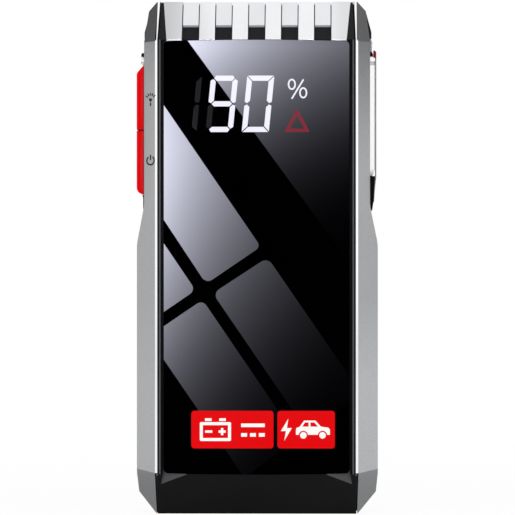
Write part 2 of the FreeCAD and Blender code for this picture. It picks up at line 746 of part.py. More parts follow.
def front_body(inset=0.0):
    """Solid inside the front half's faceted surface, or inside a surface moved in from it."""
    solid = body_prism(FRONT_Y + inset, PARTING_Y, inset, 0, inset)
    foot = (HALF_STRIP_OUT, STRIP_BACK_Y, TOP_FOOT_Z)
    foot_in = (HALF_STRIP_IN, FRONT_Y, TOP_FOOT_Z)
    head = (HALF_STRIP_OUT - STRIP_LEAN, STRIP_BACK_Y + TOP_RUN_Y, HEIGHT)
    facet_foot = (HALF_STRIP_OUT, STRIP_BACK_Y, TOP_FACET_Z)
    facet_out = (HALF_WAIST, WAIST_EDGE_Y, TOP_FACET_Z)
    low_in = (HALF_STRIP_OUT, STRIP_BACK_Y, LOW_FACET_IN_Z)
    low_foot = (HALF_CHIN, STRIP_BACK_Y + LOW_FACET_RUN_Y, 0)
    low_out = (HALF_GRIP, STRIP_BACK_Y + SIDE_RUN_Y, LOW_FACET_OUT_Z)
    paired = [
        ((HALF_STRIP_OUT, STRIP_BACK_Y, 0), (SIDE_RUN_Y, -SIDE_RUN_X, 0)),
        ((HALF_STRIP_IN, FRONT_Y, 0), (STRIP_DROP, -STRIP_WIDTH, 0)),
        plane_through(facet_foot, head, facet_out),
        plane_through(foot, head, foot_in),
        plane_through(low_in, low_foot, low_out),
    ]
    single = [
        ((0, FRONT_Y, TOP_FOOT_Z), (0, -TOP_RISE, TOP_RUN_Y)),
        ((0, FRONT_Y, CHIN_Z), (0, -CHIN_Z, -CHIN_RUN_Y)),
    ]
    both_sides = paired + [((-p[0], p[1], p[2]), (-n[0], n[1], n[2])) for p, n in paired]
    for point, normal in both_sides + single:
        outward = Vec(*normal).normalize()
        moved = Vec(*point) - outward * inset
        solid = trim_beyond(solid, tuple(moved), tuple(outward))
    return solid


def screw(point, direction, radius, length, head_radius, head):
    """Screw with a round head on a seat at a point, its shank along a direction, and a cross in its head."""
    along = Vec(*direction)
    seat = Vec(*point)
    top = seat - along * head
    shank = rod(tuple(seat), direction, radius, length)
    body = fuse(shank, rod(tuple(top), direction, head_radius, head))
    long_half = head_radius * DRIVE_LENGTH_SHARE
    narrow_half = DRIVE_WIDTH / 2
    for half_x, half_z in ((long_half, narrow_half), (narrow_half, long_half)):
        floor = top + along * (head * DRIVE_DEPTH_SHARE)
        low_y, high_y = sorted((top.y - along.y, floor.y))
        body = body.cut(box(top.x - half_x, top.x + half_x, low_y, high_y, top.z - half_z, top.z + half_z))
    return body


def case_screw_places():
    """(x, z) of the four case screws."""
    return [(side * CASE_SCREW_X, z) for side in (-1, 1) for z in (CASE_SCREW_LOW_Z, CASE_SCREW_HIGH_Z)]


def board_screw_places():
    """(x, z) of the four screws of the main board."""
    return [(side * BOARD_BOSS_X, z) for side in (-1, 1) for z in (BOARD_BOSS_LOW_Z, BOARD_BOSS_HIGH_Z)]


def display_screw_places():
    """(x, z) of the four screws of the display board."""
    left = DISPLAY_LEFT_X - DISPLAY_BOARD_MARGIN + DISPLAY_POST_INSET
    right = DISPLAY_RIGHT_X + DISPLAY_BOARD_MARGIN - DISPLAY_POST_INSET
    low = DISPLAY_BOARD_LOW_Z + DISPLAY_POST_INSET
    high = DISPLAY_BOARD_HIGH_Z - DISPLAY_POST_INSET
    return [(x, z) for x in (left, right) for z in (low, high)]


# Front: rails, bezel, glass


def rail_zone():
    """Space beyond the inner edge of the right rail."""
    chin_edge = HALF_CHIN - CHIN_RAIL_SLIVER
    lean = STRIP_LEAN * (1 + OVER / TOP_RISE)
    points = [
        (chin_edge, -OVER),
        (CHIN_SHOULDER_HALF, CHIN_SHOULDER_Z + CHIN_SIDE_GAP),
        (HALF_STRIP_IN, CHIN_SHOULDER_Z + CHIN_SIDE_GAP),
        (HALF_STRIP_IN, TOP_FOOT_Z),
        (HALF_STRIP_IN - lean, HEIGHT + OVER),
        (FAR, HEIGHT + OVER),
        (FAR, -OVER),
    ]
    return prism_y(points, FRONT_Y - OVER, PARTING_Y)


def insert_pocket(clear=0.0):
    """Rounded pocket in the right rail's side, from its floor outwards."""
    low = POCKET_LOW_Z + clear
    high = POCKET_TOP_Z - clear
    return rounded_plate_x(POCKET_FLOOR, SIDE_OUT, POCKET_HALF - clear, low, high, POCKET_ROUND - clear)


def plain_rail():
    """Right rail before its openings: faceted wall, ledge under the bezel and the backed pocket."""
    wall = front_body().common(rail_zone()).cut(front_body(WALL))
    ledge_back = BEZEL_INNER_Y + LEDGE_THICK
    ledge_in = HALF_STRIP_IN - LEDGE_REACH
    ledge = box(ledge_in, HALF_STRIP_OUT, BEZEL_INNER_Y, ledge_back, CHIN_Z + WALL, TOP_FOOT_Z - WALL)
    half = POCKET_HALF + BACKING_MARGIN
    low = POCKET_LOW_Z - BACKING_MARGIN
    high = POCKET_TOP_Z + BACKING_MARGIN
    backing = rounded_plate_x(POCKET_INNER, HALF_WAIST - WALL / 2, half, low, high, POCKET_ROUND)
    backing = backing.common(front_body())
    return fuse(wall, ledge, backing).cut(insert_pocket())


def stem_span(name):
    """Lowest and highest z of the stem of one key."""
    low, high = KEY_SPANS[name]
    return low + STEM_END_MARGIN, high - STEM_END_MARGIN


def stem_openings(x0, x1):
    """Openings for the stems of both keys."""
    cuts = []
    for name in KEY_SPANS:
        low, high = stem_span(name)
        clear = STEM_CLEAR
        cuts.append(rounded_plate_x(x0, x1, STEM_HALF + clear, low - clear, high + clear, STEM_ROUND + clear))
    return cuts


def left_side_rail():
    """Silver rail with the openings for the keys."""
    rail = plain_rail()
    for cut in stem_openings(POCKET_INNER - OVER, POCKET_FLOOR + OVER):
        rail = rail.cut(cut)
    return mirror_x(rail)


def right_side_rail():
    """Silver rail with the opening for the ports and a raised land over the insert."""
    inner, outer = POCKET_INNER - OVER, POCKET_FLOOR + OVER
    opening = rounded_plate_x(inner, outer, PORT_HALF, PORT_LOW_Z, PORT_TOP_Z, PORT_ROUND)
    land = prism_y(
        [
            (HALF_WAIST - WALL / 2, POCKET_TOP_Z + INSERT_CLEAR),
            (HALF_WAIST + LAND_PROUD, POCKET_TOP_Z + INSERT_CLEAR),
            (HALF_WAIST + LAND_PROUD, LAND_TOP_Z - LAND_PROUD),
            (HALF_WAIST, LAND_TOP_Z),
            (HALF_WAIST - WALL / 2, LAND_TOP_Z),
        ],
        POCKET_MID_Y - POCKET_HALF,
        POCKET_MID_Y + POCKET_HALF,
    )
    return fuse(plain_rail().cut(opening), land)


def glass_outline(grow, y):
    """Face of the glass, with gently crowned ends and rounded corners, grown or shrunk all round."""
    half = GLASS_HALF + grow
    low = GLASS_LOW_Z - grow
    high = GLASS_TOP_Z + grow
    r = GLASS_CORNER
    bulge = r * (1 - math.sqrt(0.5))
    edges = []
    for z, inward in ((low, 1), (high, -1)):
        edges.append(Part.Arc(Vec(-half + r, y, z), Vec(0, y, z - inward * GLASS_CROWN), Vec(half - r, y, z)))
        for side in (-1, 1):
            start = Vec(side * (half - r), y, z)
            middle = Vec(side * (half - bulge), y, z + inward * bulge)
            edges.append(Part.Arc(start, middle, Vec(side * half, y, z + inward * r)))
    for side in (-1, 1):
        edges.append(Part.LineSegment(Vec(side * half, y, low + r), Vec(side * half, y, high - r)))
    shapes = Part.__sortEdges__([edge.toShape() for edge in edges])
    return Part.Face(Part.Wire(shapes))


def glass_block(grow, y0, y1):
    """Glass outline through a depth."""
    return glass_outline(grow, y0).extrude(Vec(0, y1 - y0, 0))


def display_glass():
    """Glossy front panel."""
    return glass_block(0, GLASS_Y, GLASS_BACK_Y)


def glass_tape():
    """Adhesive frame behind the glass."""
    frame = glass_block(-TAPE_MARGIN, GLASS_BACK_Y, GLASS_SEAT_Y)
    return frame.cut(glass_block(-TAPE_MARGIN - TAPE_WIDTH, GLASS_BACK_Y - OVER, GLASS_SEAT_Y + OVER))


def comb_zone(clear):
    """Space of the comb: from the glass up the slope and over the top edge, between slanted outer edges."""
    foot = GLASS_TOP_Z - GLASS_CORNER
    top = HEIGHT - RIB_THICK
    depth = -RIB_THICK
    root = slope_point_at(TOP_FOOT_Z, depth)
    side = [
        (-FAR, foot),
        (root[0], foot),
        root,
        slope_point_at(top, depth),
        (COMB_BACK_Y + clear, top),
        (COMB_BACK_Y + clear, HEIGHT + OVER),
        (-FAR, HEIGHT + OVER),
    ]
    edge_low = COMB_EDGE_FOOT + clear
    edge_high = COMB_EDGE_TOP + clear
    right = [(edge_low, foot), (edge_low, TOP_FOOT_Z), (edge_high, HEIGHT), (edge_high, HEIGHT + OVER)]
    face = right + [(-x, z) for x, z in reversed(right)]
    zone = prism_x(side, -FAR, FAR).common(prism_y(face, -FAR, FAR))
    return zone.cut(glass_block(RIB_FOOT_GAP - clear, -FAR, root[0] + OVER))


def window_blocks(clear, bottom, top):
    """Blocks of the torch windows, from one depth to another, on the sloped end."""
    half = BLOCK_HALF + clear
    low = WINDOW_U0 - clear
    high = WINDOW_U1 + clear
    return [on_slope(box(x - half, x + half, low, high, bottom, top)) for x in WINDOW_CENTRES]


def corner_facet(side):
    """Sliver cut from the crest of the chin beside a lower corner of the glass."""
    low_y = chin_point_at(FACET_LOW_Z, BEZEL_SET_BACK)[0]
    a = Vec(side * FACET_SIDE_X, BEZEL_Y, FACET_SIDE_Z)
    b = Vec(side * FACET_LOW_X, low_y, FACET_LOW_Z)
    c = Vec(side * FACET_CREST_X, BEZEL_Y, CHIN_Z)
    outward = Vec(0, -CHIN_Z, -CHIN_RUN_Y).normalize()
    deep = a - outward * FACET_DEPTH
    face = Part.Face(Part.makePolygon([deep, b, c, deep]))
    return face.extrude(outward * (FACET_DEPTH + OVER))


def cell_stop(y0, y1):
    """Rib that the cells stand on, between two depths."""
    return box(-CELL_STOP_HALF, CELL_STOP_HALF, y0, y1, CELL_LOW_Z - CELL_STOP_THICK, CELL_LOW_Z)


def front_bezel():
    """Black front frame: glass seat, chin, torch bed, top and bottom walls, posts and bosses."""
    chin_half = HALF_CHIN - CHIN_RAIL_SLIVER - CHIN_SIDE_GAP
    zone = [
        (chin_half, -OVER),
        (CHIN_SHOULDER_HALF - CHIN_SIDE_GAP, CHIN_SHOULDER_Z),
        (BEZEL_HALF, CHIN_SHOULDER_Z),
        (BEZEL_HALF, TOP_FOOT_Z),
        (BEZEL_HALF - STRIP_LEAN, HEIGHT + OVER),
    ]
    ring = zone + [(-x, z) for x, z in reversed(zone)]
    shell = front_body(BEZEL_SET_BACK).common(prism_y(ring, FRONT_Y - OVER, PARTING_Y))
    foot = box(-chin_half, chin_half, chin_point_at(0, BEZEL_SET_BACK)[0], PARTING_Y, 0, BOTTOM_WALL)
    shell = fuse(shell, foot)
    for side in (-1, 1):
        edge = [
            (side * (BEZEL_HALF - BEZEL_BEVEL), BEZEL_Y - OVER),
            (side * (BEZEL_HALF - BEZEL_BEVEL), BEZEL_Y),
            (side * BEZEL_HALF, BEZEL_Y + BEZEL_BEVEL),
            (side * (BEZEL_HALF + OVER), BEZEL_Y + BEZEL_BEVEL),
            (side * (BEZEL_HALF + OVER), BEZEL_Y - OVER),
        ]
        shell = shell.cut(prism_z(edge, CHIN_SHOULDER_Z, TOP_FOOT_Z))
    inner_depth = -(RIB_THICK + BED_WALL)
    top_inner = HEIGHT - RIB_THICK - END_WALL
    u_foot = (BEZEL_INNER_Y - slope_point(0, inner_depth)[0]) * TOP_LENGTH / TOP_RUN_Y
    chin_inset = BEZEL_SET_BACK + WALL
    chin_run = BEZEL_INNER_Y - FRONT_Y - chin_inset * CHIN_LENGTH / CHIN_Z
    chin_foot_z = CHIN_Z - chin_run * CHIN_Z / CHIN_RUN_Y
    hollow = [
        (PARTING_Y + OVER, BOTTOM_WALL),
        chin_point_at(BOTTOM_WALL, chin_inset),
        (BEZEL_INNER_Y, chin_foot_z),
        slope_point(u_foot, inner_depth),
        slope_point_at(top_inner, inner_depth),
        (PARTING_Y + OVER, top_inner),
    ]
    shell = shell.cut(prism_x(hollow, -FAR, FAR))
    seat = box(
        -SOCKET_HALF_X - SEAT_MARGIN,
        SOCKET_HALF_X + SEAT_MARGIN,
        SOCKET_MID_Y - SOCKET_HALF_Y - SEAT_MARGIN / 2,
        PARTING_Y,
        BOTTOM_WALL / 2,
        SEAT_Z,
    )
    root_y = BEZEL_INNER_Y - SINK
    added = [seat, cell_stop(root_y, BEZEL_INNER_Y + CELL_STOP_REACH)]
    for x, z in case_screw_places():
        added.append(rod((x, root_y, z), (0, 1, 0), CASE_BOSS_RADIUS, CASE_BOSS_MEET_Y - root_y))
    for x, z in display_screw_places():
        added.append(rod((x, root_y, z), (0, 1, 0), DISPLAY_POST_RADIUS, DISPLAY_BOARD_Y - root_y))
    shell = fuse(shell, *added)
    cuts = [glass_block(GLASS_CLEAR, FRONT_Y - OVER, GLASS_SEAT_Y)]
    cuts.append(display_block(DISPLAY_CLEAR, FRONT_Y, BEZEL_INNER_Y + OVER))
    cuts.append(comb_zone(COMB_CLEAR))
    cuts += window_blocks(WINDOW_CLEAR, inner_depth - OVER, OVER)
    cuts += [corner_facet(-1), corner_facet(1)]
    case_hole = CASE_BOSS_MEET_Y - (CASE_SCREW_SEAT_Y - CASE_SCREW_LENGTH) + HOLE_SPARE
    radius = CASE_SCREW_RADIUS + SCREW_BITE_CLEAR
    for x, z in case_screw_places():
        cuts.append(rod((x, CASE_BOSS_MEET_Y, z), (0, -1, 0), radius, case_hole))
    display_hole = DISPLAY_SCREW_LENGTH - DISPLAY_BOARD_THICK + HOLE_SPARE
    radius = SMALL_SCREW_RADIUS + SCREW_BITE_CLEAR
    for x, z in display_screw_places():
        cuts.append(rod((x, DISPLAY_BOARD_Y, z), (0, -1, 0), radius, display_hole))
    flap_half = FLAP_HALF + FLAP_CLEAR
    cuts.append(box(-flap_half, flap_half, FLAP_FRONT_Y - FLAP_CLEAR, PARTING_Y + OVER, -OVER, FLAP_ROOF_Z))
    cuts.append(socket_block(SOCKET_CLEAR, 0, SEAT_Z + OVER))
    reach = FLAP_HALF + FLAP_PIN_REACH + FLAP_CLEAR
    cuts.append(rod((-reach, FLAP_AXIS_Y, FLAP_AXIS_Z), (1, 0, 0), FLAP_PIN_RADIUS + HINGE_CLEAR, 2 * reach))
    for cut in cuts:
        shell = shell.cut(cut)
    return shell.removeSplitter()


# Top end: comb and torch


def top_grille():
    """Comb of ribs that run up the sloped end and over the top edge, joined by a bar at their back."""
    block = comb_zone(0).common(front_body())
    ribs = []
    for i, x in enumerate(RIB_CENTRES):
        low = -FAR if i == 0 else x - BLOCK_HALF
        high = FAR if i == len(RIB_CENTRES) - 1 else x + BLOCK_HALF
        ribs.append(block.common(box(low, high, -FAR, FAR, 0, HEIGHT)))
    bar = block.common(box(-FAR, FAR, COMB_BACK_Y - COMB_BAR, FAR, 0, HEIGHT))
    return fuse(bar, *ribs)


def lens_half():
    """Half length of the torch lens."""
    return WINDOW_CENTRES[-1] + BLOCK_HALF + LENS_MARGIN


def torch_lens():
    """Pale window bar: a base behind the bed with five raised windows."""
    base_top = -(RIB_THICK + BED_WALL)
    u1 = TOP_LENGTH - LENS_TOP_GAP
    base = on_slope(box(-lens_half(), lens_half(), WINDOW_U0 - LENS_MARGIN, u1, LENS_INNER_N, base_top))
    return fuse(base, *window_blocks(0, base_top - LENS_BASE / 2, -WINDOW_SET_BACK))


def torch_span():
    """Half length and both ends up the slope of the reflector and the torch board."""
    inset = REFLECTOR_INSET
    return lens_half() - inset, WINDOW_U0 - inset, TOP_LENGTH - LENS_TOP_GAP - inset


def torch_reflector():
    """White tray behind the lens, with a hole for each light."""
    half, u0, u1 = torch_span()
    wall = REFLECTOR_WALL
    tray = box(-half, half, u0, u1, REFLECTOR_INNER_N, LENS_INNER_N)
    room = BLOCK_PITCH - wall / 2
    floor = REFLECTOR_INNER_N + wall
    size = TORCH_LED_SIZE / 2 + TORCH_LED_CLEAR
    mid = (u0 + u1) / 2
    low, high = REFLECTOR_INNER_N - OVER, floor + OVER
    for x in WINDOW_CENTRES:
        tray = tray.cut(box(x - room, x + room, u0 + wall, u1 - wall, floor, LENS_INNER_N + OVER))
        tray = tray.cut(box(x - size, x + size, mid - size, mid + size, low, high))
    return on_slope(tray)


def torch_board():
    """Circuit board of the torch."""
    half, u0, u1 = torch_span()
    return on_slope(box(-half, half, u0, u1, TORCH_BACK_N, REFLECTOR_INNER_N))


def torch_leds():
    """Five lights on the torch board."""
    half, u0, u1 = torch_span()
    mid = (u0 + u1) / 2
    size = TORCH_LED_SIZE / 2
    low = REFLECTOR_INNER_N
    high = low + REFLECTOR_WALL
    lights = [box(x - size, x + size, mid - size, mid + size, low, high) for x in WINDOW_CENTRES]
    return Part.makeCompound([on_slope(light) for light in lights])


# Left side: trim, bright frame, keys, switches


def trim_profile(tail):
    """(x, z) outline of a trim, from a tail's own points up to its cap."""
    plate = POCKET_FLOOR + TRIM_THICK
    cap = HALF_WAIST + CAP_PROUD
    return [
        (POCKET_FLOOR, POCKET_LOW_Z),
        *tail,
        (plate, tail[-1][1]),
        (plate, CAP_LOW_Z),
        (cap, CAP_LOW_Z),
        (cap, POCKET_TOP_Z - CAP_ROUND),
        (cap - CAP_ROUND, POCKET_TOP_Z),
        (POCKET_FLOOR, POCKET_TOP_Z),
    ]


def trim_block(tail):
    """Trim that fills its pocket, seen from the front as its profile."""
    profile = prism_y(trim_profile(tail), -FAR, FAR)
    return insert_pocket(INSERT_CLEAR).common(profile)


def frame_top():
    """Top of the bright frames, just under the trims' caps."""
    return CAP_LOW_Z - INSERT_CLEAR


def left_side_trim():
    """Black trim round the keys, with a cap above and a tail below."""
    tail = [
        (HALF_WAIST + LEFT_TAIL_PROUD, POCKET_LOW_Z),
        (HALF_WAIST + LEFT_TAIL_PROUD, LEFT_TAIL_TOP_Z - LEFT_TAIL_HEAD),
        (HALF_WAIST + LEFT_TAIL_HEAD_PROUD, LEFT_TAIL_TOP_Z),
    ]
    trim = trim_block(tail)
    clear = INSERT_CLEAR / 2
    low = KEY_FRAME_LOW_Z - clear
    half = KEY_FRAME_HALF + clear
    frame = rounded_plate_x(POCKET_FLOOR - OVER, SIDE_OUT, half, low, CAP_LOW_Z, KEY_FRAME_ROUND)
    return mirror_x(trim.cut(frame))


def left_key_frame():
    """Bright frame under the keys, with a raised head above them."""
    top = frame_top()
    plate = POCKET_FLOOR + KEY_FRAME_THICK
    head = HALF_WAIST + KEY_FRAME_HEAD_PROUD
    block = rounded_plate_x(POCKET_FLOOR, head, KEY_FRAME_HALF, KEY_FRAME_LOW_Z, top, KEY_FRAME_ROUND)
    profile = [
        (POCKET_FLOOR, KEY_FRAME_LOW_Z),
        (plate, KEY_FRAME_LOW_Z),
        (plate, top - KEY_FRAME_HEAD),
        (head, top - KEY_FRAME_HEAD),
        (head, top - KEY_FRAME_HEAD_BEVEL),
        (head - KEY_FRAME_HEAD_BEVEL, top),
        (POCKET_FLOOR, top),
    ]
    frame = block.common(prism_y(profile, -FAR, FAR))
    for cut in stem_openings(POCKET_FLOOR - OVER, plate + OVER):
        frame = frame.cut(cut)
    return mirror_x(frame)


def key(name):
    """Red key: sloped cap, stem through the wall, flange behind it and a post for its switch."""
    low, high = KEY_SPANS[name]
    under = HALF_WAIST + KEY_LIFT
    face = HALF_WAIST + KEY_PROUD
    if name == "light":
        profile = [(under, low), (face, low), (face, high - KEY_TOP_SLOPE), (under, high)]
        rounds = [0, KEY_PARTING_ROUND, KEY_TOP_ROUND, 0]
    else:
        profile = [(under, low), (face, low + KEY_LOW_SLOPE), (face, high), (under, high)]
        rounds = [0, KEY_LOW_ROUND, KEY_PARTING_ROUND, 0]
    front = POCKET_MID_Y - KEY_HALF
    back = POCKET_MID_Y + KEY_HALF
    section = prism_z(
        [(under, front), (face, front), (face, back), (under, back)],
        low - OVER,
        high + OVER,
        [0, KEY_SIDE_ROUND, KEY_SIDE_ROUND, 0],
    )
    cap = prism_y(profile, -FAR, FAR, rounds).common(section)
    stem_low, stem_high = stem_span(name)
    stem = rounded_plate_x(FLANGE_IN, under + SINK, STEM_HALF, stem_low, stem_high, STEM_ROUND)
    half = STEM_HALF + FLANGE_LAP
    lap_low, lap_high = stem_low - FLANGE_LAP, stem_high + FLANGE_LAP
    flange = rounded_plate_x(FLANGE_IN, FLANGE_OUT, half, lap_low, lap_high, STEM_ROUND)
    middle = (stem_low + stem_high) / 2
    post = rod((PLUNGER_END, POCKET_MID_Y, middle), (1, 0, 0), POST_RADIUS, POST_LENGTH + SINK)
    return mirror_x(fuse(cap, stem, flange, post))


def switch_middle(name):
    """Height of the switch of one key."""
    return sum(stem_span(name)) / 2


def key_switch(name):
    """Push switch body, bored for its plunger."""
    z = switch_middle(name)
    half = SWITCH_SIZE / 2
    body = rounded_plate_x(SWITCH_IN, SWITCH_OUT, half, z - half, z + half, SWITCH_ROUND)
    depth = PLUNGER_IN + KEY_TRAVEL + PLUNGER_SPARE
    radius = PLUNGER_RADIUS + PLUNGER_CLEAR
    bore = rod((SWITCH_OUT - depth, POCKET_MID_Y, z), (1, 0, 0), radius, depth + OVER)
    return mirror_x(body.cut(bore))


def key_plunger(name):
    """Plunger between a key's post and its switch."""
    z = switch_middle(name)
    start = (SWITCH_OUT - PLUNGER_IN, POCKET_MID_Y, z)
    return mirror_x(rod(start, (1, 0, 0), PLUNGER_RADIUS, PLUNGER_IN + PLUNGER_OUT))


def key_board():
    """Upright board that carries both key switches."""
    low = switch_middle("power") - SWITCH_SIZE / 2 - KEY_BOARD_MARGIN
    high = switch_middle("light") + SWITCH_SIZE / 2 + KEY_BOARD_MARGIN
    return mirror_x(rounded_plate_x(KEY_BOARD_IN, SWITCH_IN, KEY_BOARD_HALF, low, high, KEY_BOARD_ROUND))


# Right side: trim, bright frame, port cover


def tail_points():
    """(x, z) points of the right tail's outer line, from its lower end up."""
    return [
        (HALF_WAIST + TAIL_LOW_PROUD, POCKET_LOW_Z),
        (HALF_WAIST + TAIL_MID_PROUD, TAIL_MID_Z),
        (HALF_WAIST + TAIL_HIGH_PROUD, PORT_FRAME_LOW_Z - INSERT_CLEAR),
    ]


def tail_x(z):
    """Outer x of the right tail at a height."""
    points = tail_points()
    for (x0, z0), (x1, z1) in zip(points, points[1:]):
        if z <= z1:
            return x0 + (x1 - x0) * (z - z0) / (z1 - z0)
    return points[-1][0]


def cheek_points():
    """(x, z) points of the outer line of the cheeks beside the cover's lower end, from the bottom up."""
    return [
        (HALF_WAIST + CHEEK_LOW_PROUD, POCKET_LOW_Z),
        (HALF_WAIST + CHEEK_MID_PROUD, CHEEK_MID_Z),
        (HALF_WAIST + CHEEK_HIGH_PROUD, PORT_FRAME_LOW_Z - INSERT_CLEAR),
    ]


def right_side_trim():
    """Black trim round the port frame: a cap above, and a tail with cheeks below that holds the cover's hinge."""
    room = COVER_HALF + COVER_SIDE_CLEAR
    between = box(-FAR, FAR, POCKET_MID_Y - room, POCKET_MID_Y + room, -FAR, HEIGHT)
    trim = fuse(trim_block(tail_points()), trim_block(cheek_points()).cut(between))
    clear = INSERT_CLEAR / 2
    low = PORT_FRAME_LOW_Z - INSERT_CLEAR
    frame = rounded_plate_x(POCKET_FLOOR - OVER, SIDE_OUT, PORT_FRAME_HALF + clear, low, CAP_LOW_Z, 0)
    recess_low = COVER_AXIS_Z - COVER_KNUCKLE_RADIUS - COVER_RECESS_CLEAR
    recess_half = COVER_KNUCKLE_HALF + COVER_RECESS_CLEAR
    recess_high = PORT_FRAME_LOW_Z + OVER
    recess = rounded_plate_x(POCKET_FLOOR - OVER, SIDE_OUT, recess_half, recess_low, recess_high, 0)
    reach = COVER_KNUCKLE_HALF + COVER_PIN_REACH + COVER_RECESS_CLEAR
    start = (COVER_AXIS_X, POCKET_MID_Y - reach, COVER_AXIS_Z)
    bore = rod(start, (0, 1, 0), COVER_PIN_RADIUS + HINGE_CLEAR, 2 * reach)
    return trim.cut(frame).cut(recess).cut(bore)


def port_frame_bar(inset, z0, z1):
    """Bar of the port frame's section between two heights, with slanted flanks, moved in all round."""
    face = HALF_WAIST + PORT_FRAME_PROUD - inset
    front = POCKET_MID_Y - PORT_FRAME_HALF + inset
    back = POCKET_MID_Y + PORT_FRAME_HALF - inset
    bevel = face - HALF_WAIST
    section = [
        (POCKET_FLOOR, front),
        (HALF_WAIST, front),
        (face, front + bevel),
        (face, back - bevel),
        (HALF_WAIST, back),
        (POCKET_FLOOR, back),
    ]
    return prism_z(section, z0, z1)


def right_port_frame():
    """Bright frame round the ports, with a groove under its head and a sloped foot."""
    face = HALF_WAIST + PORT_FRAME_PROUD
    bar = port_frame_bar(0, PORT_FRAME_LOW_Z, frame_top())
    low, high = PORT_FRAME_GROOVE_Z - PORT_FRAME_GROOVE, PORT_FRAME_GROOVE_Z
    bar = bar.cut(port_frame_bar(0, low, high).cut(port_frame_bar(PORT_FRAME_GROOVE_DEPTH, low, high)))
    end = PORT_FRAME_END_BEVEL
    profile = [
        (POCKET_FLOOR, PORT_FRAME_LOW_Z),
        (face - PORT_FRAME_FOOT_DEPTH, PORT_FRAME_LOW_Z),
        (face, PORT_FRAME_LOW_Z + PORT_FRAME_FOOT_RISE),
        (face, frame_top() - end),
        (face - end, frame_top()),
        (POCKET_FLOOR, frame_top()),
    ]
    frame = bar.common(prism_y(profile, -FAR, FAR))
    return frame.cut(port_opening(0, POCKET_FLOOR - OVER, face + OVER))


def port_opening(clear, x0, x1):
    """Rounded opening inside the bright port frame."""
    top = frame_top() - PORT_FRAME_END_BEVEL - COVER_PLUG_RIM
    return rounded_plate_x(x0, x1, PORT_HALF - clear, PORT_LOW_Z + clear, top - clear, PORT_ROUND)


def port_cover():
    """Thin cover over the ports: skin, plug rim, and a knuckle with its own pins at the lower end."""
    rest = HALF_WAIST + PORT_FRAME_PROUD + COVER_GAP
    inner = [(tail_x(z) + TAIL_SKIN_GAP, z) for z in (COVER_LOW_Z, TAIL_MID_Z)]
    inner += [(rest, PORT_FRAME_LOW_Z - INSERT_CLEAR), (rest, COVER_TOP_Z)]
    outer = [(x + COVER_THICK, z) for x, z in reversed(inner)]
    skin = prism_y(inner + outer, POCKET_MID_Y - COVER_HALF, POCKET_MID_Y + COVER_HALF)
    shape = rounded_plate_x(POCKET_FLOOR, SIDE_OUT, COVER_HALF, COVER_LOW_Z, COVER_TOP_Z, POCKET_ROUND)
    skin = skin.common(shape)
    plug = port_opening(COVER_PLUG_CLEAR, rest - COVER_PLUG_DEPTH, rest + COVER_THICK / 2)
    plug = plug.cut(port_opening(COVER_PLUG_CLEAR + COVER_PLUG_RIM, rest - COVER_PLUG_DEPTH - OVER, rest))
    knuckle = rod(
        (COVER_AXIS_X, POCKET_MID_Y - COVER_KNUCKLE_HALF, COVER_AXIS_Z),
        (0, 1, 0),
        COVER_KNUCKLE_RADIUS,
        2 * COVER_KNUCKLE_HALF,
    )
    middle_skin = TAIL_SKIN_GAP + COVER_THICK / 2
    web = prism_y(
        [
            (COVER_AXIS_X - COVER_KNUCKLE_RADIUS, COVER_AXIS_Z),
            (COVER_AXIS_X + COVER_KNUCKLE_RADIUS, COVER_AXIS_Z),
            (tail_x(COVER_LOW_Z) + middle_skin, COVER_LOW_Z),
            (tail_x(COVER_WEB_TOP_Z) + middle_skin, COVER_WEB_TOP_Z),
            (COVER_AXIS_X + TAIL_SKIN_GAP, COVER_WEB_TOP_Z),
        ],
        POCKET_MID_Y - COVER_KNUCKLE_HALF,
        POCKET_MID_Y + COVER_KNUCKLE_HALF,
    )
    pin_half = COVER_KNUCKLE_HALF + COVER_PIN_REACH
    start = (COVER_AXIS_X, POCKET_MID_Y - pin_half, COVER_AXIS_Z)
    pin = rod(start, (0, 1, 0), COVER_PIN_RADIUS, 2 * pin_half)
    return fuse(skin, plug, knuckle, web, pin)


def port_cover_tab():
    """Red finger tab on the cover's upper edge."""
    inner = HALF_WAIST + TAB_INNER_PROUD
    outer = HALF_WAIST + PORT_FRAME_PROUD + COVER_GAP + COVER_THICK
    profile = [
        (inner, COVER_TOP_Z),
        (outer, COVER_TOP_Z),
        (outer, TAB_TOP_Z - TAB_SLOPE),
        (outer - TAB_SLOPE, TAB_TOP_Z),
        (inner, TAB_TOP_Z),
    ]
    return prism_y(profile, POCKET_MID_Y - TAB_HALF, POCKET_MID_Y + TAB_HALF)


# Rear shell, its screws and feet


def shell_block(y0, y1, inset):
    """Outer form of the rear shell, or a form moved in from it, with its slanted back edges."""
    proud = SHELL_CORNER_PROUD
    solid = body_prism(y0, y1, SHELL_INSET + inset, proud, inset)
    side_x = HALF_GRIP - SHELL_INSET
    planes = [
        ((side_x, SHELL_BACK_Y - REAR_BEVEL_Y, 0), (REAR_BEVEL_Y, REAR_BEVEL_X, 0)),
        ((-side_x, SHELL_BACK_Y - REAR_BEVEL_Y, 0), (-REAR_BEVEL_Y, REAR_BEVEL_X, 0)),
        ((0, SHELL_BACK_Y - REAR_END_BEVEL_Y, HEIGHT), (0, REAR_END_BEVEL_Z, REAR_END_BEVEL_Y)),
        ((0, SHELL_BACK_Y - REAR_END_BEVEL_Y, 0), (0, REAR_END_BEVEL_Z, -REAR_END_BEVEL_Y)),
    ]
    for point, normal in planes:
        outward = Vec(*normal).normalize()
        solid = trim_beyond(solid, tuple(Vec(*point) - outward * inset), tuple(outward))
    return solid


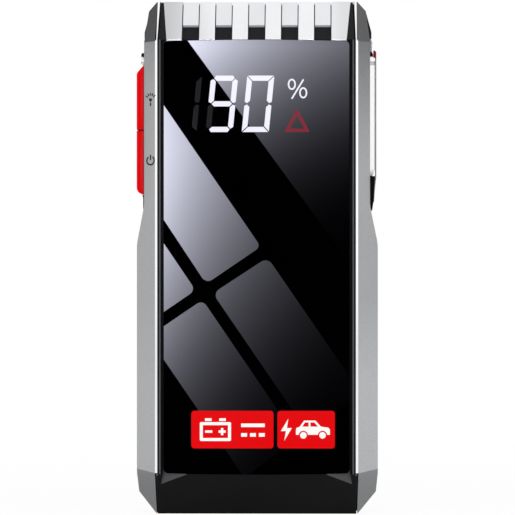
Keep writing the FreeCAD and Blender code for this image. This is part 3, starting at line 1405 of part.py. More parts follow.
def rear_shell():
    """Black tub behind the parting line, with grip grooves, bosses and pad pockets."""
    shell = shell_block(PARTING_Y, SHELL_BACK_Y, 0)
    shell = shell.cut(shell_block(PARTING_Y - OVER, SHELL_INNER_Y, WALL))
    root_y = SHELL_INNER_Y + SINK
    added = [cell_stop(SHELL_INNER_Y - CELL_STOP_REACH, root_y)]
    for x, z in case_screw_places():
        added.append(rod((x, CASE_BOSS_MEET_Y, z), (0, 1, 0), CASE_BOSS_RADIUS, root_y - CASE_BOSS_MEET_Y))
    for x, z in board_screw_places():
        added.append(rod((x, BOARD_BACK_Y, z), (0, 1, 0), BOARD_BOSS_RADIUS, root_y - BOARD_BACK_Y))
    shell = fuse(shell, *added)
    cuts = []
    for x, z in case_screw_places():
        cuts.append(rod((x, PAD_FLOOR_Y, z), (0, 1, 0), PAD_RADIUS + PAD_CLEAR, PAD_POCKET + OVER))
        cuts.append(rod((x, CASE_SCREW_SEAT_Y, z), (0, 1, 0), CASE_SCREW_HEAD_RADIUS + SCREW_CLEAR, FAR))
        cuts.append(rod((x, CASE_BOSS_MEET_Y - OVER, z), (0, 1, 0), CASE_SCREW_RADIUS + SCREW_CLEAR, FAR))
    board_hole = OVER + BOARD_SCREW_LENGTH + HOLE_SPARE - BOARD_THICK
    for x, z in board_screw_places():
        start = (x, BOARD_BACK_Y - OVER, z)
        cuts.append(rod(start, (0, 1, 0), SMALL_SCREW_RADIUS + SCREW_BITE_CLEAR, board_hole))
    groove_y = SHELL_BACK_Y - GROOVE_DEPTH
    half = GROOVE_WIDTH / 2
    for i in range(GROOVE_COUNT):
        z = GROOVE_MID_Z + (i - (GROOVE_COUNT - 1) / 2) * GROOVE_PITCH
        cuts.append(box(-GROOVE_HALF, GROOVE_HALF, groove_y, SHELL_BACK_Y + OVER, z - half, z + half))
    for cut in cuts:
        shell = shell.cut(cut)
    return shell


def case_screws():
    """Four screws that hold the rear shell to the bezel."""
    sizes = (CASE_SCREW_RADIUS, CASE_SCREW_LENGTH, CASE_SCREW_HEAD_RADIUS, CASE_SCREW_HEAD)
    made = [screw((x, CASE_SCREW_SEAT_Y, z), (0, -1, 0), *sizes) for x, z in case_screw_places()]
    return Part.makeCompound(made)


def rear_pads():
    """Four rubber pads over the screw heads."""
    thick = BACK_Y - PAD_FLOOR_Y
    made = [rod((x, PAD_FLOOR_Y, z), (0, 1, 0), PAD_RADIUS, thick) for x, z in case_screw_places()]
    return Part.makeCompound(made)


# Display


def display_block(grow, y0, y1):
    """Block as wide and high as the display, grown all round, between two depths."""
    left, right = DISPLAY_LEFT_X - grow, DISPLAY_RIGHT_X + grow
    return box(left, right, y0, y1, DISPLAY_LOW_Z - grow, DISPLAY_HIGH_Z + grow)


def display_module():
    """Block of light chambers behind the glass, with a flange against the bezel."""
    rim = DISPLAY_FLANGE - DISPLAY_CLEAR
    flange = display_block(rim, BEZEL_INNER_Y, DISPLAY_BOARD_Y)
    return fuse(display_block(0, DISPLAY_FACE_Y, DISPLAY_BOARD_Y), flange)


def segment_shapes():
    """(x, z) outlines of the seven segments of an upright digit, from its lower middle."""
    half = DIGIT_WIDTH / 2
    wide = SEGMENT_WIDTH
    gap = SEGMENT_GAP
    middle = DIGIT_HEIGHT / 2
    bar = [(-half + gap, 0), (half - gap, 0), (half - wide - gap, wide), (-half + wide + gap, wide)]
    side = [
        (half, gap),
        (half, middle - wide / 2),
        (half - wide / 2, middle - gap),
        (half - wide, middle - wide / 2),
        (half - wide, wide + gap),
    ]
    inner = half - wide - gap
    shapes = {
        "a": [(x, DIGIT_HEIGHT - z) for x, z in bar],
        "b": [(x, DIGIT_HEIGHT - z) for x, z in side],
        "c": side,
        "d": bar,
        "e": [(-x, z) for x, z in side],
        "f": [(-x, DIGIT_HEIGHT - z) for x, z in side],
        "g": [
            (-inner - wide / 2, middle),
            (-inner, middle + wide / 2),
            (inner, middle + wide / 2),
            (inner + wide / 2, middle),
            (inner, middle - wide / 2),
            (-inner, middle - wide / 2),
        ],
    }
    return shapes


def display_segments():
    """Light pipes of the digits, raised on the face of the display."""
    shapes = segment_shapes()
    made = []
    for place, names in enumerate(DIGIT_SEGMENTS):
        centre = DIGIT_RIGHT_X - place * DIGIT_PITCH
        for name in names:
            lean = [DIGIT_SLANT * (z - DIGIT_HEIGHT / 2) for x, z in shapes[name]]
            slanted = [(centre + x + dx, DIGIT_LOW_Z + z) for (x, z), dx in zip(shapes[name], lean)]
            made.append(prism_y(slanted, DISPLAY_FACE_Y - SEGMENT_RAISE, DISPLAY_FACE_Y))
    return Part.makeCompound(made)


def display_board():
    """Circuit board of the display."""
    board = box(
        DISPLAY_LEFT_X - DISPLAY_BOARD_MARGIN,
        DISPLAY_RIGHT_X + DISPLAY_BOARD_MARGIN,
        DISPLAY_BOARD_Y,
        DISPLAY_BOARD_BACK_Y,
        DISPLAY_BOARD_LOW_Z,
        DISPLAY_BOARD_HIGH_Z,
    )
    for x, z in display_screw_places():
        hole = SMALL_SCREW_RADIUS + SCREW_CLEAR
        start = (x, DISPLAY_BOARD_Y - OVER, z)
        board = board.cut(rod(start, (0, 1, 0), hole, DISPLAY_BOARD_THICK + 2 * OVER))
    return board


def display_screws():
    """Four screws that hold the display board to the bezel."""
    sizes = (SMALL_SCREW_RADIUS, DISPLAY_SCREW_LENGTH, SMALL_SCREW_HEAD_RADIUS, SMALL_SCREW_HEAD)
    made = [screw((x, DISPLAY_BOARD_BACK_Y, z), (0, -1, 0), *sizes) for x, z in display_screw_places()]
    return Part.makeCompound(made)


def display_ribbon():
    """Flat ribbon from the display board to the main board."""
    half = RIBBON_THICK / 2
    start_y = DISPLAY_BOARD_BACK_Y + half
    end_y = BOARD_FRONT_Y - half
    points = [
        (start_y, DISPLAY_BOARD_LOW_Z + RIBBON_LAP),
        (start_y, DISPLAY_BOARD_LOW_Z - RIBBON_LAP / 2),
        (start_y + RIBBON_LAP, RIBBON_LEVEL_Z),
        (end_y - RIBBON_LAP, RIBBON_LEVEL_Z),
        (end_y, RIBBON_LEVEL_Z - RIBBON_LAP / 2),
        (end_y, RIBBON_LEVEL_Z - RIBBON_LAP * 1.5),
    ]
    return strap(points, RIBBON_THICK, RIBBON_LEFT_X, RIBBON_RIGHT_X)


# Main board and its parts


def main_board():
    """Circuit board across the upper body, from the key board to the ports."""
    board = box(-KEY_BOARD_IN, BOARD_RIGHT_X, BOARD_FRONT_Y, BOARD_BACK_Y, BOARD_LOW_Z, BOARD_HIGH_Z)
    for x, z in board_screw_places():
        hole = SMALL_SCREW_RADIUS + SCREW_CLEAR
        board = board.cut(rod((x, BOARD_FRONT_Y - OVER, z), (0, 1, 0), hole, BOARD_THICK + 2 * OVER))
    return board


def board_screws():
    """Four screws that hold the main board to the rear shell's bosses."""
    sizes = (SMALL_SCREW_RADIUS, BOARD_SCREW_LENGTH, SMALL_SCREW_HEAD_RADIUS, SMALL_SCREW_HEAD)
    made = [screw((x, BOARD_FRONT_Y, z), (0, 1, 0), *sizes) for x, z in board_screw_places()]
    return Part.makeCompound(made)


def mosfet_columns():
    """x of each column of power transistors."""
    return [(i - (MOSFET_COLUMNS - 1) / 2) * MOSFET_PITCH_X for i in range(MOSFET_COLUMNS)]


def power_mosfets():
    """Power transistors on the back of the main board."""
    made = []
    for x in mosfet_columns():
        for drop in MOSFET_ROW_DROPS:
            z = HEIGHT - drop
            half_x = MOSFET_WIDTH / 2
            half_z = MOSFET_HEIGHT / 2
            made.append(
                box(x - half_x, x + half_x, BOARD_BACK_Y, BOARD_BACK_Y + MOSFET_THICK, z - half_z, z + half_z)
            )
    return Part.makeCompound(made)


def heat_spreader():
    """Aluminium plate over the power transistors."""
    half = mosfet_columns()[-1] + MOSFET_WIDTH / 2 + SPREADER_MARGIN
    low = HEIGHT - MOSFET_ROW_DROPS[0] - MOSFET_HEIGHT / 2 - SPREADER_MARGIN
    high = HEIGHT - MOSFET_ROW_DROPS[-1] + MOSFET_HEIGHT / 2 + SPREADER_MARGIN
    near = BOARD_BACK_Y + MOSFET_THICK
    return box(-half, half, near, near + SPREADER_THICK, low, high)


def boost_inductors():
    """Two inductors of the charging converter."""
    half = INDUCTOR_SIZE / 2
    made = []
    for drop in INDUCTOR_DROPS:
        z = HEIGHT - drop
        corners = [(INDUCTOR_X - half, z - half), (INDUCTOR_X + half, z - half)]
        corners += [(INDUCTOR_X + half, z + half), (INDUCTOR_X - half, z + half)]
        made.append(prism_y(corners, BOARD_FRONT_Y - INDUCTOR_HEIGHT, BOARD_FRONT_Y, [INDUCTOR_ROUND] * 4))
    return Part.makeCompound(made)


def capacitors():
    """Can capacitors standing on the main board."""
    made = []
    for drop in CAPACITOR_DROPS:
        foot = (CAPACITOR_X, BOARD_FRONT_Y, HEIGHT - drop)
        made.append(rod(foot, (0, -1, 0), CAPACITOR_RADIUS, CAPACITOR_HEIGHT))
    return Part.makeCompound(made)


def control_chips():
    """Chips on the main board and on the display board."""
    made = []
    spots = [(chip, BOARD_FRONT_Y, -CHIP_HEIGHT) for chip in CONTROL_CHIPS]
    spots.append((DRIVER_CHIP, DISPLAY_BOARD_BACK_Y, CHIP_HEIGHT))
    for (x, drop, wide, tall), y, rise in spots:
        z = HEIGHT - drop
        low, high = sorted((y, y + rise))
        made.append(box(x - wide / 2, x + wide / 2, low, high, z - tall / 2, z + tall / 2))
    return Part.makeCompound(made)


def port_mouth():
    """x of the mouths of the ports."""
    return POCKET_FLOOR - PORT_SET_BACK


def port_block(z, width, height, length, shrink=0.0):
    """Block of a port that lies on the main board, with its mouth at the right edge."""
    x1 = port_mouth() + (OVER if shrink else 0)
    x0 = port_mouth() - length + shrink
    half = width / 2 - shrink
    return box(x0, x1, BOARD_FRONT_Y - height + shrink, BOARD_FRONT_Y - shrink, z - half, z + half)


def usb_a_port():
    """Steel shell of the wide port."""
    shell = port_block(USB_A_Z, USB_A_WIDTH, USB_A_HEIGHT, USB_A_LENGTH)
    return shell.cut(port_block(USB_A_Z, USB_A_WIDTH, USB_A_HEIGHT, USB_A_LENGTH, USB_A_SHELL))


def usb_a_tongue():
    """Contact tongue of the wide port, with its base against the shell's end."""
    x0 = port_mouth() - USB_A_LENGTH + USB_A_SHELL
    y1 = BOARD_FRONT_Y - USB_A_SHELL
    y0 = BOARD_FRONT_Y - USB_A_HEIGHT + USB_A_SHELL
    half = USB_A_WIDTH / 2 - USB_A_SHELL
    base = box(x0, x0 + USB_A_TONGUE_BASE, y0, y1, USB_A_Z - half, USB_A_Z + half)
    inner = half - USB_A_TONGUE_INSET
    blade_y1 = y1 - USB_A_TONGUE_INSET / 2
    blade_y0 = blade_y1 - USB_A_TONGUE
    blade = box(x0, port_mouth() - USB_A_TONGUE_INSET, blade_y0, blade_y1, USB_A_Z - inner, USB_A_Z + inner)
    return fuse(base, blade)


def usb_c_shape(shrink, x0, x1):
    """Oval of the small port, through a length."""
    half = USB_C_WIDTH / 2 - shrink
    low = BOARD_FRONT_Y - USB_C_HEIGHT + shrink
    high = BOARD_FRONT_Y - shrink
    corners = [(low, USB_C_Z - half), (high, USB_C_Z - half), (high, USB_C_Z + half), (low, USB_C_Z + half)]
    radius = (high - low) / 2 * USB_C_ROUND_SHARE
    return prism_x(corners, x0, x1, [radius] * 4)


def usb_c_port():
    """Steel shell of the small port."""
    x0 = port_mouth() - USB_C_LENGTH
    outer = usb_c_shape(0, x0, port_mouth())
    return outer.cut(usb_c_shape(USB_C_SHELL, x0 + USB_C_SHELL, port_mouth() + OVER))


def usb_c_tongue():
    """Contact tongue of the small port."""
    x0 = port_mouth() - USB_C_LENGTH + USB_C_SHELL
    base = usb_c_shape(USB_C_SHELL, x0, x0 + USB_C_TONGUE_BASE)
    middle = BOARD_FRONT_Y - USB_C_HEIGHT / 2
    half = USB_C_WIDTH / 2 - USB_C_TONGUE_INSET
    blade = box(
        x0,
        port_mouth() - USB_C_TONGUE_INSET / 2,
        middle - USB_C_TONGUE / 2,
        middle + USB_C_TONGUE / 2,
        USB_C_Z - half,
        USB_C_Z + half,
    )
    return fuse(base, blade)


def dc_jack():
    """Round power jack."""
    body = port_block(DC_JACK_Z, DC_JACK_WIDTH, DC_JACK_HEIGHT, DC_JACK_LENGTH)
    middle = BOARD_FRONT_Y - DC_JACK_HEIGHT / 2
    start = (port_mouth() - DC_JACK_DEPTH, middle, DC_JACK_Z)
    bore = rod(start, (1, 0, 0), DC_JACK_BORE, DC_JACK_DEPTH + OVER)
    return body.cut(bore)


def dc_jack_pin():
    """Centre pin of the power jack."""
    middle = BOARD_FRONT_Y - DC_JACK_HEIGHT / 2
    start = (port_mouth() - DC_JACK_DEPTH, middle, DC_JACK_Z)
    return rod(start, (1, 0, 0), DC_PIN_RADIUS, DC_JACK_DEPTH - DC_PIN_SET_BACK)


# Battery


def cell(index):
    """One pouch cell of the stack, counted from the front."""
    front = CELL_FRONT_Y + index * CELL_STEP
    corners = [(-CELL_HALF, front), (CELL_HALF, front)]
    corners += [(CELL_HALF, front + CELL_THICK), (-CELL_HALF, front + CELL_THICK)]
    return prism_z(corners, CELL_LOW_Z, CELL_HIGH_Z, [CELL_ROUND] * 4)


def cell_pads():
    """Foam pads before, between and behind the cells."""
    gaps = [(BEZEL_INNER_Y, CELL_FRONT_Y), (CELL_BACK_Y, SHELL_INNER_Y)]
    for i in range(1, CELL_COUNT):
        back = CELL_FRONT_Y + i * CELL_STEP
        gaps.append((back - CELL_PAD_THICK, back))
    low = CELL_LOW_Z + PAD_INSET_Z
    high = CELL_HIGH_Z - PAD_INSET_Z
    return Part.makeCompound([box(-PAD_HALF_X, PAD_HALF_X, y0, y1, low, high) for y0, y1 in gaps])


def cell_tabs():
    """Two metal tabs on top of each cell."""
    made = []
    for i in range(CELL_COUNT):
        middle = CELL_FRONT_Y + i * CELL_STEP + CELL_THICK / 2
        for x in (-TAB_X, TAB_X):
            made.append(
                box(
                    x - TAB_WIDTH / 2,
                    x + TAB_WIDTH / 2,
                    middle - TAB_THICK / 2,
                    middle + TAB_THICK / 2,
                    CELL_HIGH_Z,
                    BATTERY_BOARD_Z,
                )
            )
    return Part.makeCompound(made)


def battery_board():
    """Board across the cells' tabs, with an ear on each side for a power lead."""
    z0 = BATTERY_BOARD_Z
    z1 = z0 + BATTERY_BOARD_THICK
    half = BATTERY_BOARD_HALF
    plate = box(-half, half, CELL_FRONT_Y + TAB_THICK, CELL_BACK_Y - TAB_THICK, z0, z1)
    near, far = SOCKET_MID_Y - BATTERY_BOARD_EAR_HALF, SOCKET_MID_Y + BATTERY_BOARD_EAR_HALF
    ears = box(-BATTERY_BOARD_EAR, BATTERY_BOARD_EAR, near, far, z0, z1)
    return fuse(plate, ears)


# Lower end: jump socket, contacts, cover


def socket_block(grow, z0, z1):
    """Rounded block of the jump socket, grown all round, between two heights."""
    half_x = SOCKET_HALF_X + grow
    low = SOCKET_MID_Y - SOCKET_HALF_Y - grow
    high = SOCKET_MID_Y + SOCKET_HALF_Y + grow
    corners = [(-half_x, low), (half_x, low), (half_x, high), (-half_x, high)]
    return prism_z(corners, z0, z1, [SOCKET_ROUND + grow] * 4)


def jump_socket():
    """Socket housing in the bottom wall, held by its flange, with two bores."""
    flange = socket_block(SOCKET_FLANGE, SEAT_Z, SEAT_Z + SOCKET_FLANGE_THICK)
    housing = fuse(socket_block(0, SOCKET_FACE_Z, SOCKET_TOP_Z), flange)
    bore = CONTACT_OUTER + CONTACT_CLEAR
    for x in (-CONTACT_HALF_PITCH, CONTACT_HALF_PITCH):
        start = (x, SOCKET_MID_Y, SOCKET_FACE_Z - OVER)
        housing = housing.cut(rod(start, (0, 0, 1), CONTACT_MOUTH, 2 * OVER))
        housing = housing.cut(rod((x, SOCKET_MID_Y, CONTACT_LOW_Z), (0, 0, 1), bore, FAR))
    return housing


def jump_contacts():
    """Two round contact sockets with solder cups."""
    made = []
    for x in (-CONTACT_HALF_PITCH, CONTACT_HALF_PITCH):
        sleeve = rod((x, SOCKET_MID_Y, CONTACT_LOW_Z), (0, 0, 1), CONTACT_OUTER, SOCKET_TOP_Z - CONTACT_LOW_Z)
        cup = rod((x, SOCKET_MID_Y, SOCKET_TOP_Z - SINK), (0, 0, 1), CUP_RADIUS, CUP_LENGTH + SINK)
        start = (x, SOCKET_MID_Y, CONTACT_LOW_Z - OVER)
        bore = rod(start, (0, 0, 1), CONTACT_BORE, CONTACT_BORE_LENGTH + OVER)
        made.append(fuse(sleeve, cup).cut(bore))
    return Part.makeCompound(made)


def jump_port_cover():
    """Flap over the jump socket, with its own pins at the rear edge."""
    panel = box(-FLAP_HALF, FLAP_HALF, FLAP_FRONT_Y, FLAP_AXIS_Y, FLAP_LOW_Z, FLAP_LOW_Z + FLAP_THICK)
    knuckle = rod((-FLAP_HALF, FLAP_AXIS_Y, FLAP_AXIS_Z), (1, 0, 0), FLAP_KNUCKLE_RADIUS, 2 * FLAP_HALF)
    pin_half = FLAP_HALF + FLAP_PIN_REACH
    pin = rod((-pin_half, FLAP_AXIS_Y, FLAP_AXIS_Z), (1, 0, 0), FLAP_PIN_RADIUS, 2 * pin_half)
    plug_low = FLAP_LOW_Z + FLAP_THICK / 2
    plug_top = FLAP_LOW_Z + FLAP_THICK + FLAP_PLUG_HEIGHT
    plug_half = FLAP_HALF - FLAP_PLUG_INSET
    plug_back = FLAP_AXIS_Y - FLAP_PLUG_BACK_INSET
    plug = box(-plug_half, plug_half, FLAP_FRONT_Y + FLAP_PLUG_INSET, plug_back, plug_low, plug_top)
    front, back = FLAP_FRONT_Y - OVER, FLAP_FRONT_Y + FLAP_NOTCH_DEPTH
    notch = box(-FLAP_NOTCH_HALF, FLAP_NOTCH_HALF, front, back, 0, FLAP_LOW_Z + FLAP_NOTCH_HEIGHT)
    return fuse(panel, knuckle, pin, plug).cut(notch)


# Leads


def power_lead(side):
    """Lead from a solder cup up beside the cells to an ear of the battery board."""
    x0 = side * CONTACT_HALF_PITCH
    x1 = side * LEAD_SIDE_X
    points = [
        (x0, SOCKET_MID_Y, CONTACT_CUP_Z),
        (x0, SOCKET_MID_Y, LEAD_LEVEL_Z),
        (x1, SOCKET_MID_Y, LEAD_LEVEL_Z),
        (x1, SOCKET_MID_Y, BATTERY_BOARD_Z),
    ]
    return tube(points, LEAD_RADIUS, LEAD_BEND)


def torch_wires():
    """Two wires from the torch board to the main board."""
    start = slope_point(WIRE_START_U, TORCH_BACK_N)
    knee_z = start[1] - (WIRE_LEVEL_Y - start[0]) * TOP_RUN_Y / TOP_RISE
    route = [start, (WIRE_LEVEL_Y, knee_z), (WIRE_LEVEL_Y, WIRE_END_Z), (BOARD_FRONT_Y, WIRE_END_Z)]
    made = []
    for x in (-WIRE_HALF_PITCH, WIRE_HALF_PITCH):
        made.append(tube([(x, y, z) for y, z in route], WIRE_RADIUS, WIRE_BEND))
    return Part.makeCompound(made)


def build():
    """Every sub-part under its name."""
    parts = {
        "display_glass": display_glass(),
        "glass_tape": glass_tape(),
        "front_bezel": front_bezel(),
        "left_side_rail": left_side_rail(),
        "right_side_rail": right_side_rail(),
        "top_grille": top_grille(),
        "torch_lens": torch_lens(),
        "torch_reflector": torch_reflector(),
        "torch_board": torch_board(),
        "torch_leds": torch_leds(),
        "torch_wires": torch_wires(),
        "left_side_trim": left_side_trim(),
        "left_key_frame": left_key_frame(),
        "light_button": key("light"),
        "power_button": key("power"),
        "light_switch": key_switch("light"),
        "power_switch": key_switch("power"),
        "light_switch_plunger": key_plunger("light"),
        "power_switch_plunger": key_plunger("power"),
        "key_board": key_board(),
        "right_side_trim": right_side_trim(),
        "right_port_frame": right_port_frame(),
        "port_cover": port_cover(),
        "port_cover_tab": port_cover_tab(),
        "rear_shell": rear_shell(),
        "rear_pads": rear_pads(),
        "case_screws": case_screws(),
        "display_module": display_module(),
        "display_segments": display_segments(),
        "display_board": display_board(),
        "display_screws": display_screws(),
        "display_ribbon": display_ribbon(),
        "main_board": main_board(),
        "board_screws": board_screws(),
        "power_mosfets": power_mosfets(),
        "heat_spreader": heat_spreader(),
        "boost_inductors": boost_inductors(),
        "capacitors": capacitors(),
        "control_chips": control_chips(),
        "usb_a_port": usb_a_port(),
        "usb_a_tongue": usb_a_tongue(),
        "usb_c_port": usb_c_port(),
        "usb_c_tongue": usb_c_tongue(),
        "dc_jack": dc_jack(),
        "dc_jack_pin": dc_jack_pin(),
        "cell_pads": cell_pads(),
        "cell_tabs": cell_tabs(),
        "battery_board": battery_board(),
        "jump_socket": jump_socket(),
        "jump_contacts": jump_contacts(),
        "jump_port_cover": jump_port_cover(),
        "negative_lead": power_lead(-1),
        "positive_lead": power_lead(1),
    }
    for i in range(CELL_COUNT):
        parts["cell_%d" % (i + 1)] = cell(i)
    return parts


os.makedirs("parts", exist_ok=True)
for name, shape in build().items():
    shape.exportStep("parts/%s.step" % name)
    print("%-22s solids %d valid %s volume %.1f" % (name, len(shape.Solids), shape.isValid(), shape.Volume))
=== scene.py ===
"""Looks of the jump starter pack: finishes, printed marks, lit readout, studio light and camera, all around its
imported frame. Lengths are written in millimetres and made metres by MM."""
import json
import math

import bmesh
import bpy
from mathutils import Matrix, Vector


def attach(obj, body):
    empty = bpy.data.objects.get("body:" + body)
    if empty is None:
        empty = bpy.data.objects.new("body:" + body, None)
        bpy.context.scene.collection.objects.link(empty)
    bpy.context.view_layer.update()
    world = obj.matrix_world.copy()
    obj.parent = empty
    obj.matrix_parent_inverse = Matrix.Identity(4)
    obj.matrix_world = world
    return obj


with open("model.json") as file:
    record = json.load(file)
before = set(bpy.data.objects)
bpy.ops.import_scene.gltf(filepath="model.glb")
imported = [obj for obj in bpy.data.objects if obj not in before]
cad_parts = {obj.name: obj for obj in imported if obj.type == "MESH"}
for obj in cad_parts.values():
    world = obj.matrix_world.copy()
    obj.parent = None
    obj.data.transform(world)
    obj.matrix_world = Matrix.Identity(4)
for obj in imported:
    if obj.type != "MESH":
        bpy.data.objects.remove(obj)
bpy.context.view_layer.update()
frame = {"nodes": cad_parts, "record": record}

MM = 0.001

# Camera: aimed at the glass at half the pack's height from a little to its right, and far enough off to look
# nearly parallel. PICTURE_SCALE is how many picture points of 515 one millimetre of the glass takes.
AIM_X = 0.365
AIM_Z = 94.0
CAMERA_TURN = 1.15
CAMERA_DISTANCE = 1500.1
CAMERA_LENS = 287.3
CAMERA_FAR = 20.0
PICTURE_MIDDLE = 257.5
PICTURE_SCALE = 2.74

# Faces of the CAD that carry marks.
GLASS_Y = -18.4
SLOPE_IN = (-37.1, -17.5)
SLOPE_OUT = (-44.4, -4.0)
MARK_THICK = 0.03
TOP_MARK_THICK = 0.045

# The rails' polished front edge: its outer line, its inner line, its back, the height where it folds back over the
# top, how far it leans in from there on for each millimetre of height, and its roughness.
STRIP_OUT = 37.12
STRIP_IN = 36.27
STRIP_BACK_Y = -17.48
STRIP_FOLD_Z = 173.6
STRIP_LEAN = 0.55 / 14.4
STRIP_ROUGH = 0.1

# The rails' lacquer is painted paler towards the foot, most on the right rail, as painted light: the heights
# between which it changes, its share of tone at the foot of each rail, and the share further up. It also drifts a
# little towards a paler tone over this many millimetres, has flakes of this size, and is this metallic.
RAIL_PAINTED_LIGHT_Z = (50.0, 80.0)
RAIL_PAINTED_LIGHT_X = (-38.0, 38.0)
RAIL_PAINTED_LIGHT_AT_FOOT = (0.98, 1.11)
RAIL_PAINTED_LIGHT_ABOVE = 0.88
RAIL_DRIFT = 0.25
RAIL_WANDER = 30.0
FLAKE_SIZE = 0.7
RAIL_METALLIC = 0.85

# The bezel's faces, by how far they face forwards, upwards and sideways, which set its painted light and shade.
FRONT_FACING = -0.99
TOP_FACING = 0.5
CORNER_FACET_LEAN = 0.11
BEVEL_LEAN = 0.71
LEAN_TOLERANCE = 0.06

# The two keys part at this height and stand out of the case from this far out. Their red is painted dark and matt
# in a band this half height about the parting and inside that line, as painted shade. The bright plate is painted
# greyer in a line, as painted shade, and over its foot, as a painted reflection of the black trim, to these shares
# of its tone.
KEY_PARTING_Z = 140.85
KEY_PARTING_SHADE_HALF = 0.3
KEY_ROOT_SHADE_X = 41.8
PLATE_LINE_Z = 165.35
PLATE_LINE_HALF = 0.75
PLATE_LINE_SHADE = 0.55
PLATE_FOOT_Z = (123.9, 126.6)
PLATE_FOOT_SHADE = 0.3

# The comb's lacquer is painted darker over so much of its ends, to these shares of its tone, as painted shade.
COMB_END = 32.0
COMB_LEFT_FADE = 17.0
COMB_LEFT_SHADE = 0.66
COMB_RIGHT_FADE = 9.0
COMB_RIGHT_SHADE = 0.84

# Readout digits: standard seven segments, each digit with its own cut of the outer corners. A cut end keeps a
# point on the mitre, at CUT_POINT_SHARE of the cut.
DIGIT_HEIGHT = 20.6
DIGIT_WIDTH = 9.9
DIGIT_LOW_Z = 139.8
DIGIT_SLANT = 0.1
DIGIT_RIGHT_X = 0.565
DIGIT_PITCH = 13.2
SEGMENT_WIDTH = 1.9
SEGMENT_GAP = 0.25
SEGMENT_CORNER_CUT = 1.6
RIGHT_CORNER_CUT = 0.05
HUNDREDS_CORNER_CUT = 0.3
CUT_POINT_SHARE = 0.62

# Percent sign and alert triangle, both right of the digits.
PERCENT_RINGS = ((12.9, 157.2), (17.05, 154.1))
PERCENT_RING_SIZE = (1.5, 2.05)
PERCENT_STROKE = 0.6
PERCENT_SLASH = ((12.85, 151.9), (17.15, 159.0))
TRIANGLE_APEX = (14.8, 148.4)
TRIANGLE_BASE_Z = 139.8
TRIANGLE_HALF = 4.7
TRIANGLE_STROKE = 1.2
TRIANGLE_ROUND = 0.4
INNER_ROUND = 0.05

# Two red printed fields low on the glass.
FIELD_LOW_Z = 24.3
FIELD_TOP_Z = 38.05
FIELD_ROUND = 1.1
LEFT_FIELD_X = (-23.8, 6.2)
RIGHT_FIELD_X = (7.65, 28.6)

# White pictograms on the fields: a battery with the sign for direct current, and a bolt beside a car.
BATTERY_X = (-20.7, -9.3)
BATTERY_Z = (27.0, 33.9)
BATTERY_STROKE = 1.1
BATTERY_ROUND = 0.5
TERMINAL_SIZE = (2.4, 1.0)
TERMINAL_GAP = 0.4
TERMINAL_INSET = 1.9
SIGN_Z = 30.45
SIGN_SPREAD = 2.45
SIGN_LENGTH = 2.6
SIGN_STROKE = 0.85
DIRECT_X = (-5.6, 3.0)
DIRECT_BAR_Z = (32.1, 33.4)
DIRECT_DASH_Z = (28.6, 29.9)
DIRECT_DASHES = 3
DIRECT_DASH_GAP = 1.1
BOLT_MIDDLE = (10.9, 31.15)
BOLT_OUTLINE = ((0.7, 4.0), (-2.0, -0.5), (-0.15, -0.5), (-0.75, -4.0), (2.0, 0.6), (0.2, 0.6))
CAR_MIDDLE = (20.6, 31.0)
CAR_UPPER_OUTLINE = (
    (6.2, -1.7), (6.2, 0.2), (5.6, 0.9), (2.9, 1.3), (0.9, 3.5), (-3.2, 3.5), (-4.9, 1.2), (-6.0, 0.8),
    (-6.2, 0.0), (-6.2, -1.7))
CAR_SIDE_WINDOWS = (
    ((-3.9, 1.3), (-1.6, 1.3), (-1.6, 2.8), (-2.9, 2.8)),
    ((-0.9, 1.3), (1.8, 1.3), (0.5, 2.8), (-0.9, 2.8)))
WHEEL_X = 3.5
WHEEL_Z = -1.9
WHEEL_RADIUS = 1.2
WHEEL_ARCH_RADIUS = 1.7
WHEEL_ARCH_ENDS = (173.0, 7.0)
WHEEL_STEPS = 12

# Dark marks beside the keys on the left rail, wider on the slope than high, as they look upright from the front.
ICON_RUN = 3.8
ICON_STRETCH = 2.0
ICON_STROKE = 0.52
TORCH_ICON_Z = 151.9
TORCH_RAY_ANGLES = (36.0, 63.0, 90.0, 117.0, 144.0)
TORCH_RAY_SPAN = (1.4, 2.4)
TORCH_RAY_STROKE = 0.42
TORCH_HEAD = ((-0.3, -0.85), (0.3, -0.85), (0.75, 0.3), (-0.75, 0.3))
TORCH_HANDLE = (-0.26, -2.4, 0.26, -1.2)
POWER_ICON_Z = 129.5
POWER_RADIUS = 1.55
POWER_GAP_ANGLE = 32.0
POWER_BAR = (0.15, 2.1)
POWER_STEPS = 20

# Gold contacts on the tongues of the two ports: how many, the middle of the lowest, their pitch, and each one's
# size.
WIDE_PORT_CONTACTS = (4, (35.2, -0.39, 150.9), 2.33, (8.0, 0.1, 1.1))
SMALL_PORT_CONTACTS = (8, (37.8, 0.43, 138.2), 0.8, (3.6, 0.06, 0.4))

# Noise textures stay within these values nearly everywhere.
NOISE_LOW = 0.3
NOISE_HIGH = 0.7
NOISE_ROUGHNESS = 0.55
DRIFT_SEED = 0.31
DRIFT_DETAIL = 3.0
FLAKE_SEED = 0.07

# Most tints drift over this many millimetres.
TINT_WANDER = 25.0

# Sockets of a colour mix node, which has several inputs of the same name.
MIX_SHARE, MIX_FIRST, MIX_SECOND, MIX_RESULT = 0, 6, 7, 2

# How strongly a finish shines, on the shader's own scale, where plain glass or plastic has 0.5. Below them stand
# the setting of bare metal, and the roughness of a face that has no shine.
HALF_SHINE = {"Specular IOR Level": 0.25}
LOW_SHINE = {"Specular IOR Level": 0.14}
LEAST_SHINE = {"Specular IOR Level": 0.05}
METAL = {"Metallic": 1.0}
MATT_ROUGH = 1.0

WHITE = "#FFFFFF"


def colour(code):
    """Linear RGBA of an sRGB hex colour."""
    parts = [int(code[i:i + 2], 16) / 255 for i in (1, 3, 5)]
    return [c / 12.92 if c <= 0.04045 else ((c + 0.055) / 1.055) ** 2.4 for c in parts] + [1.0]


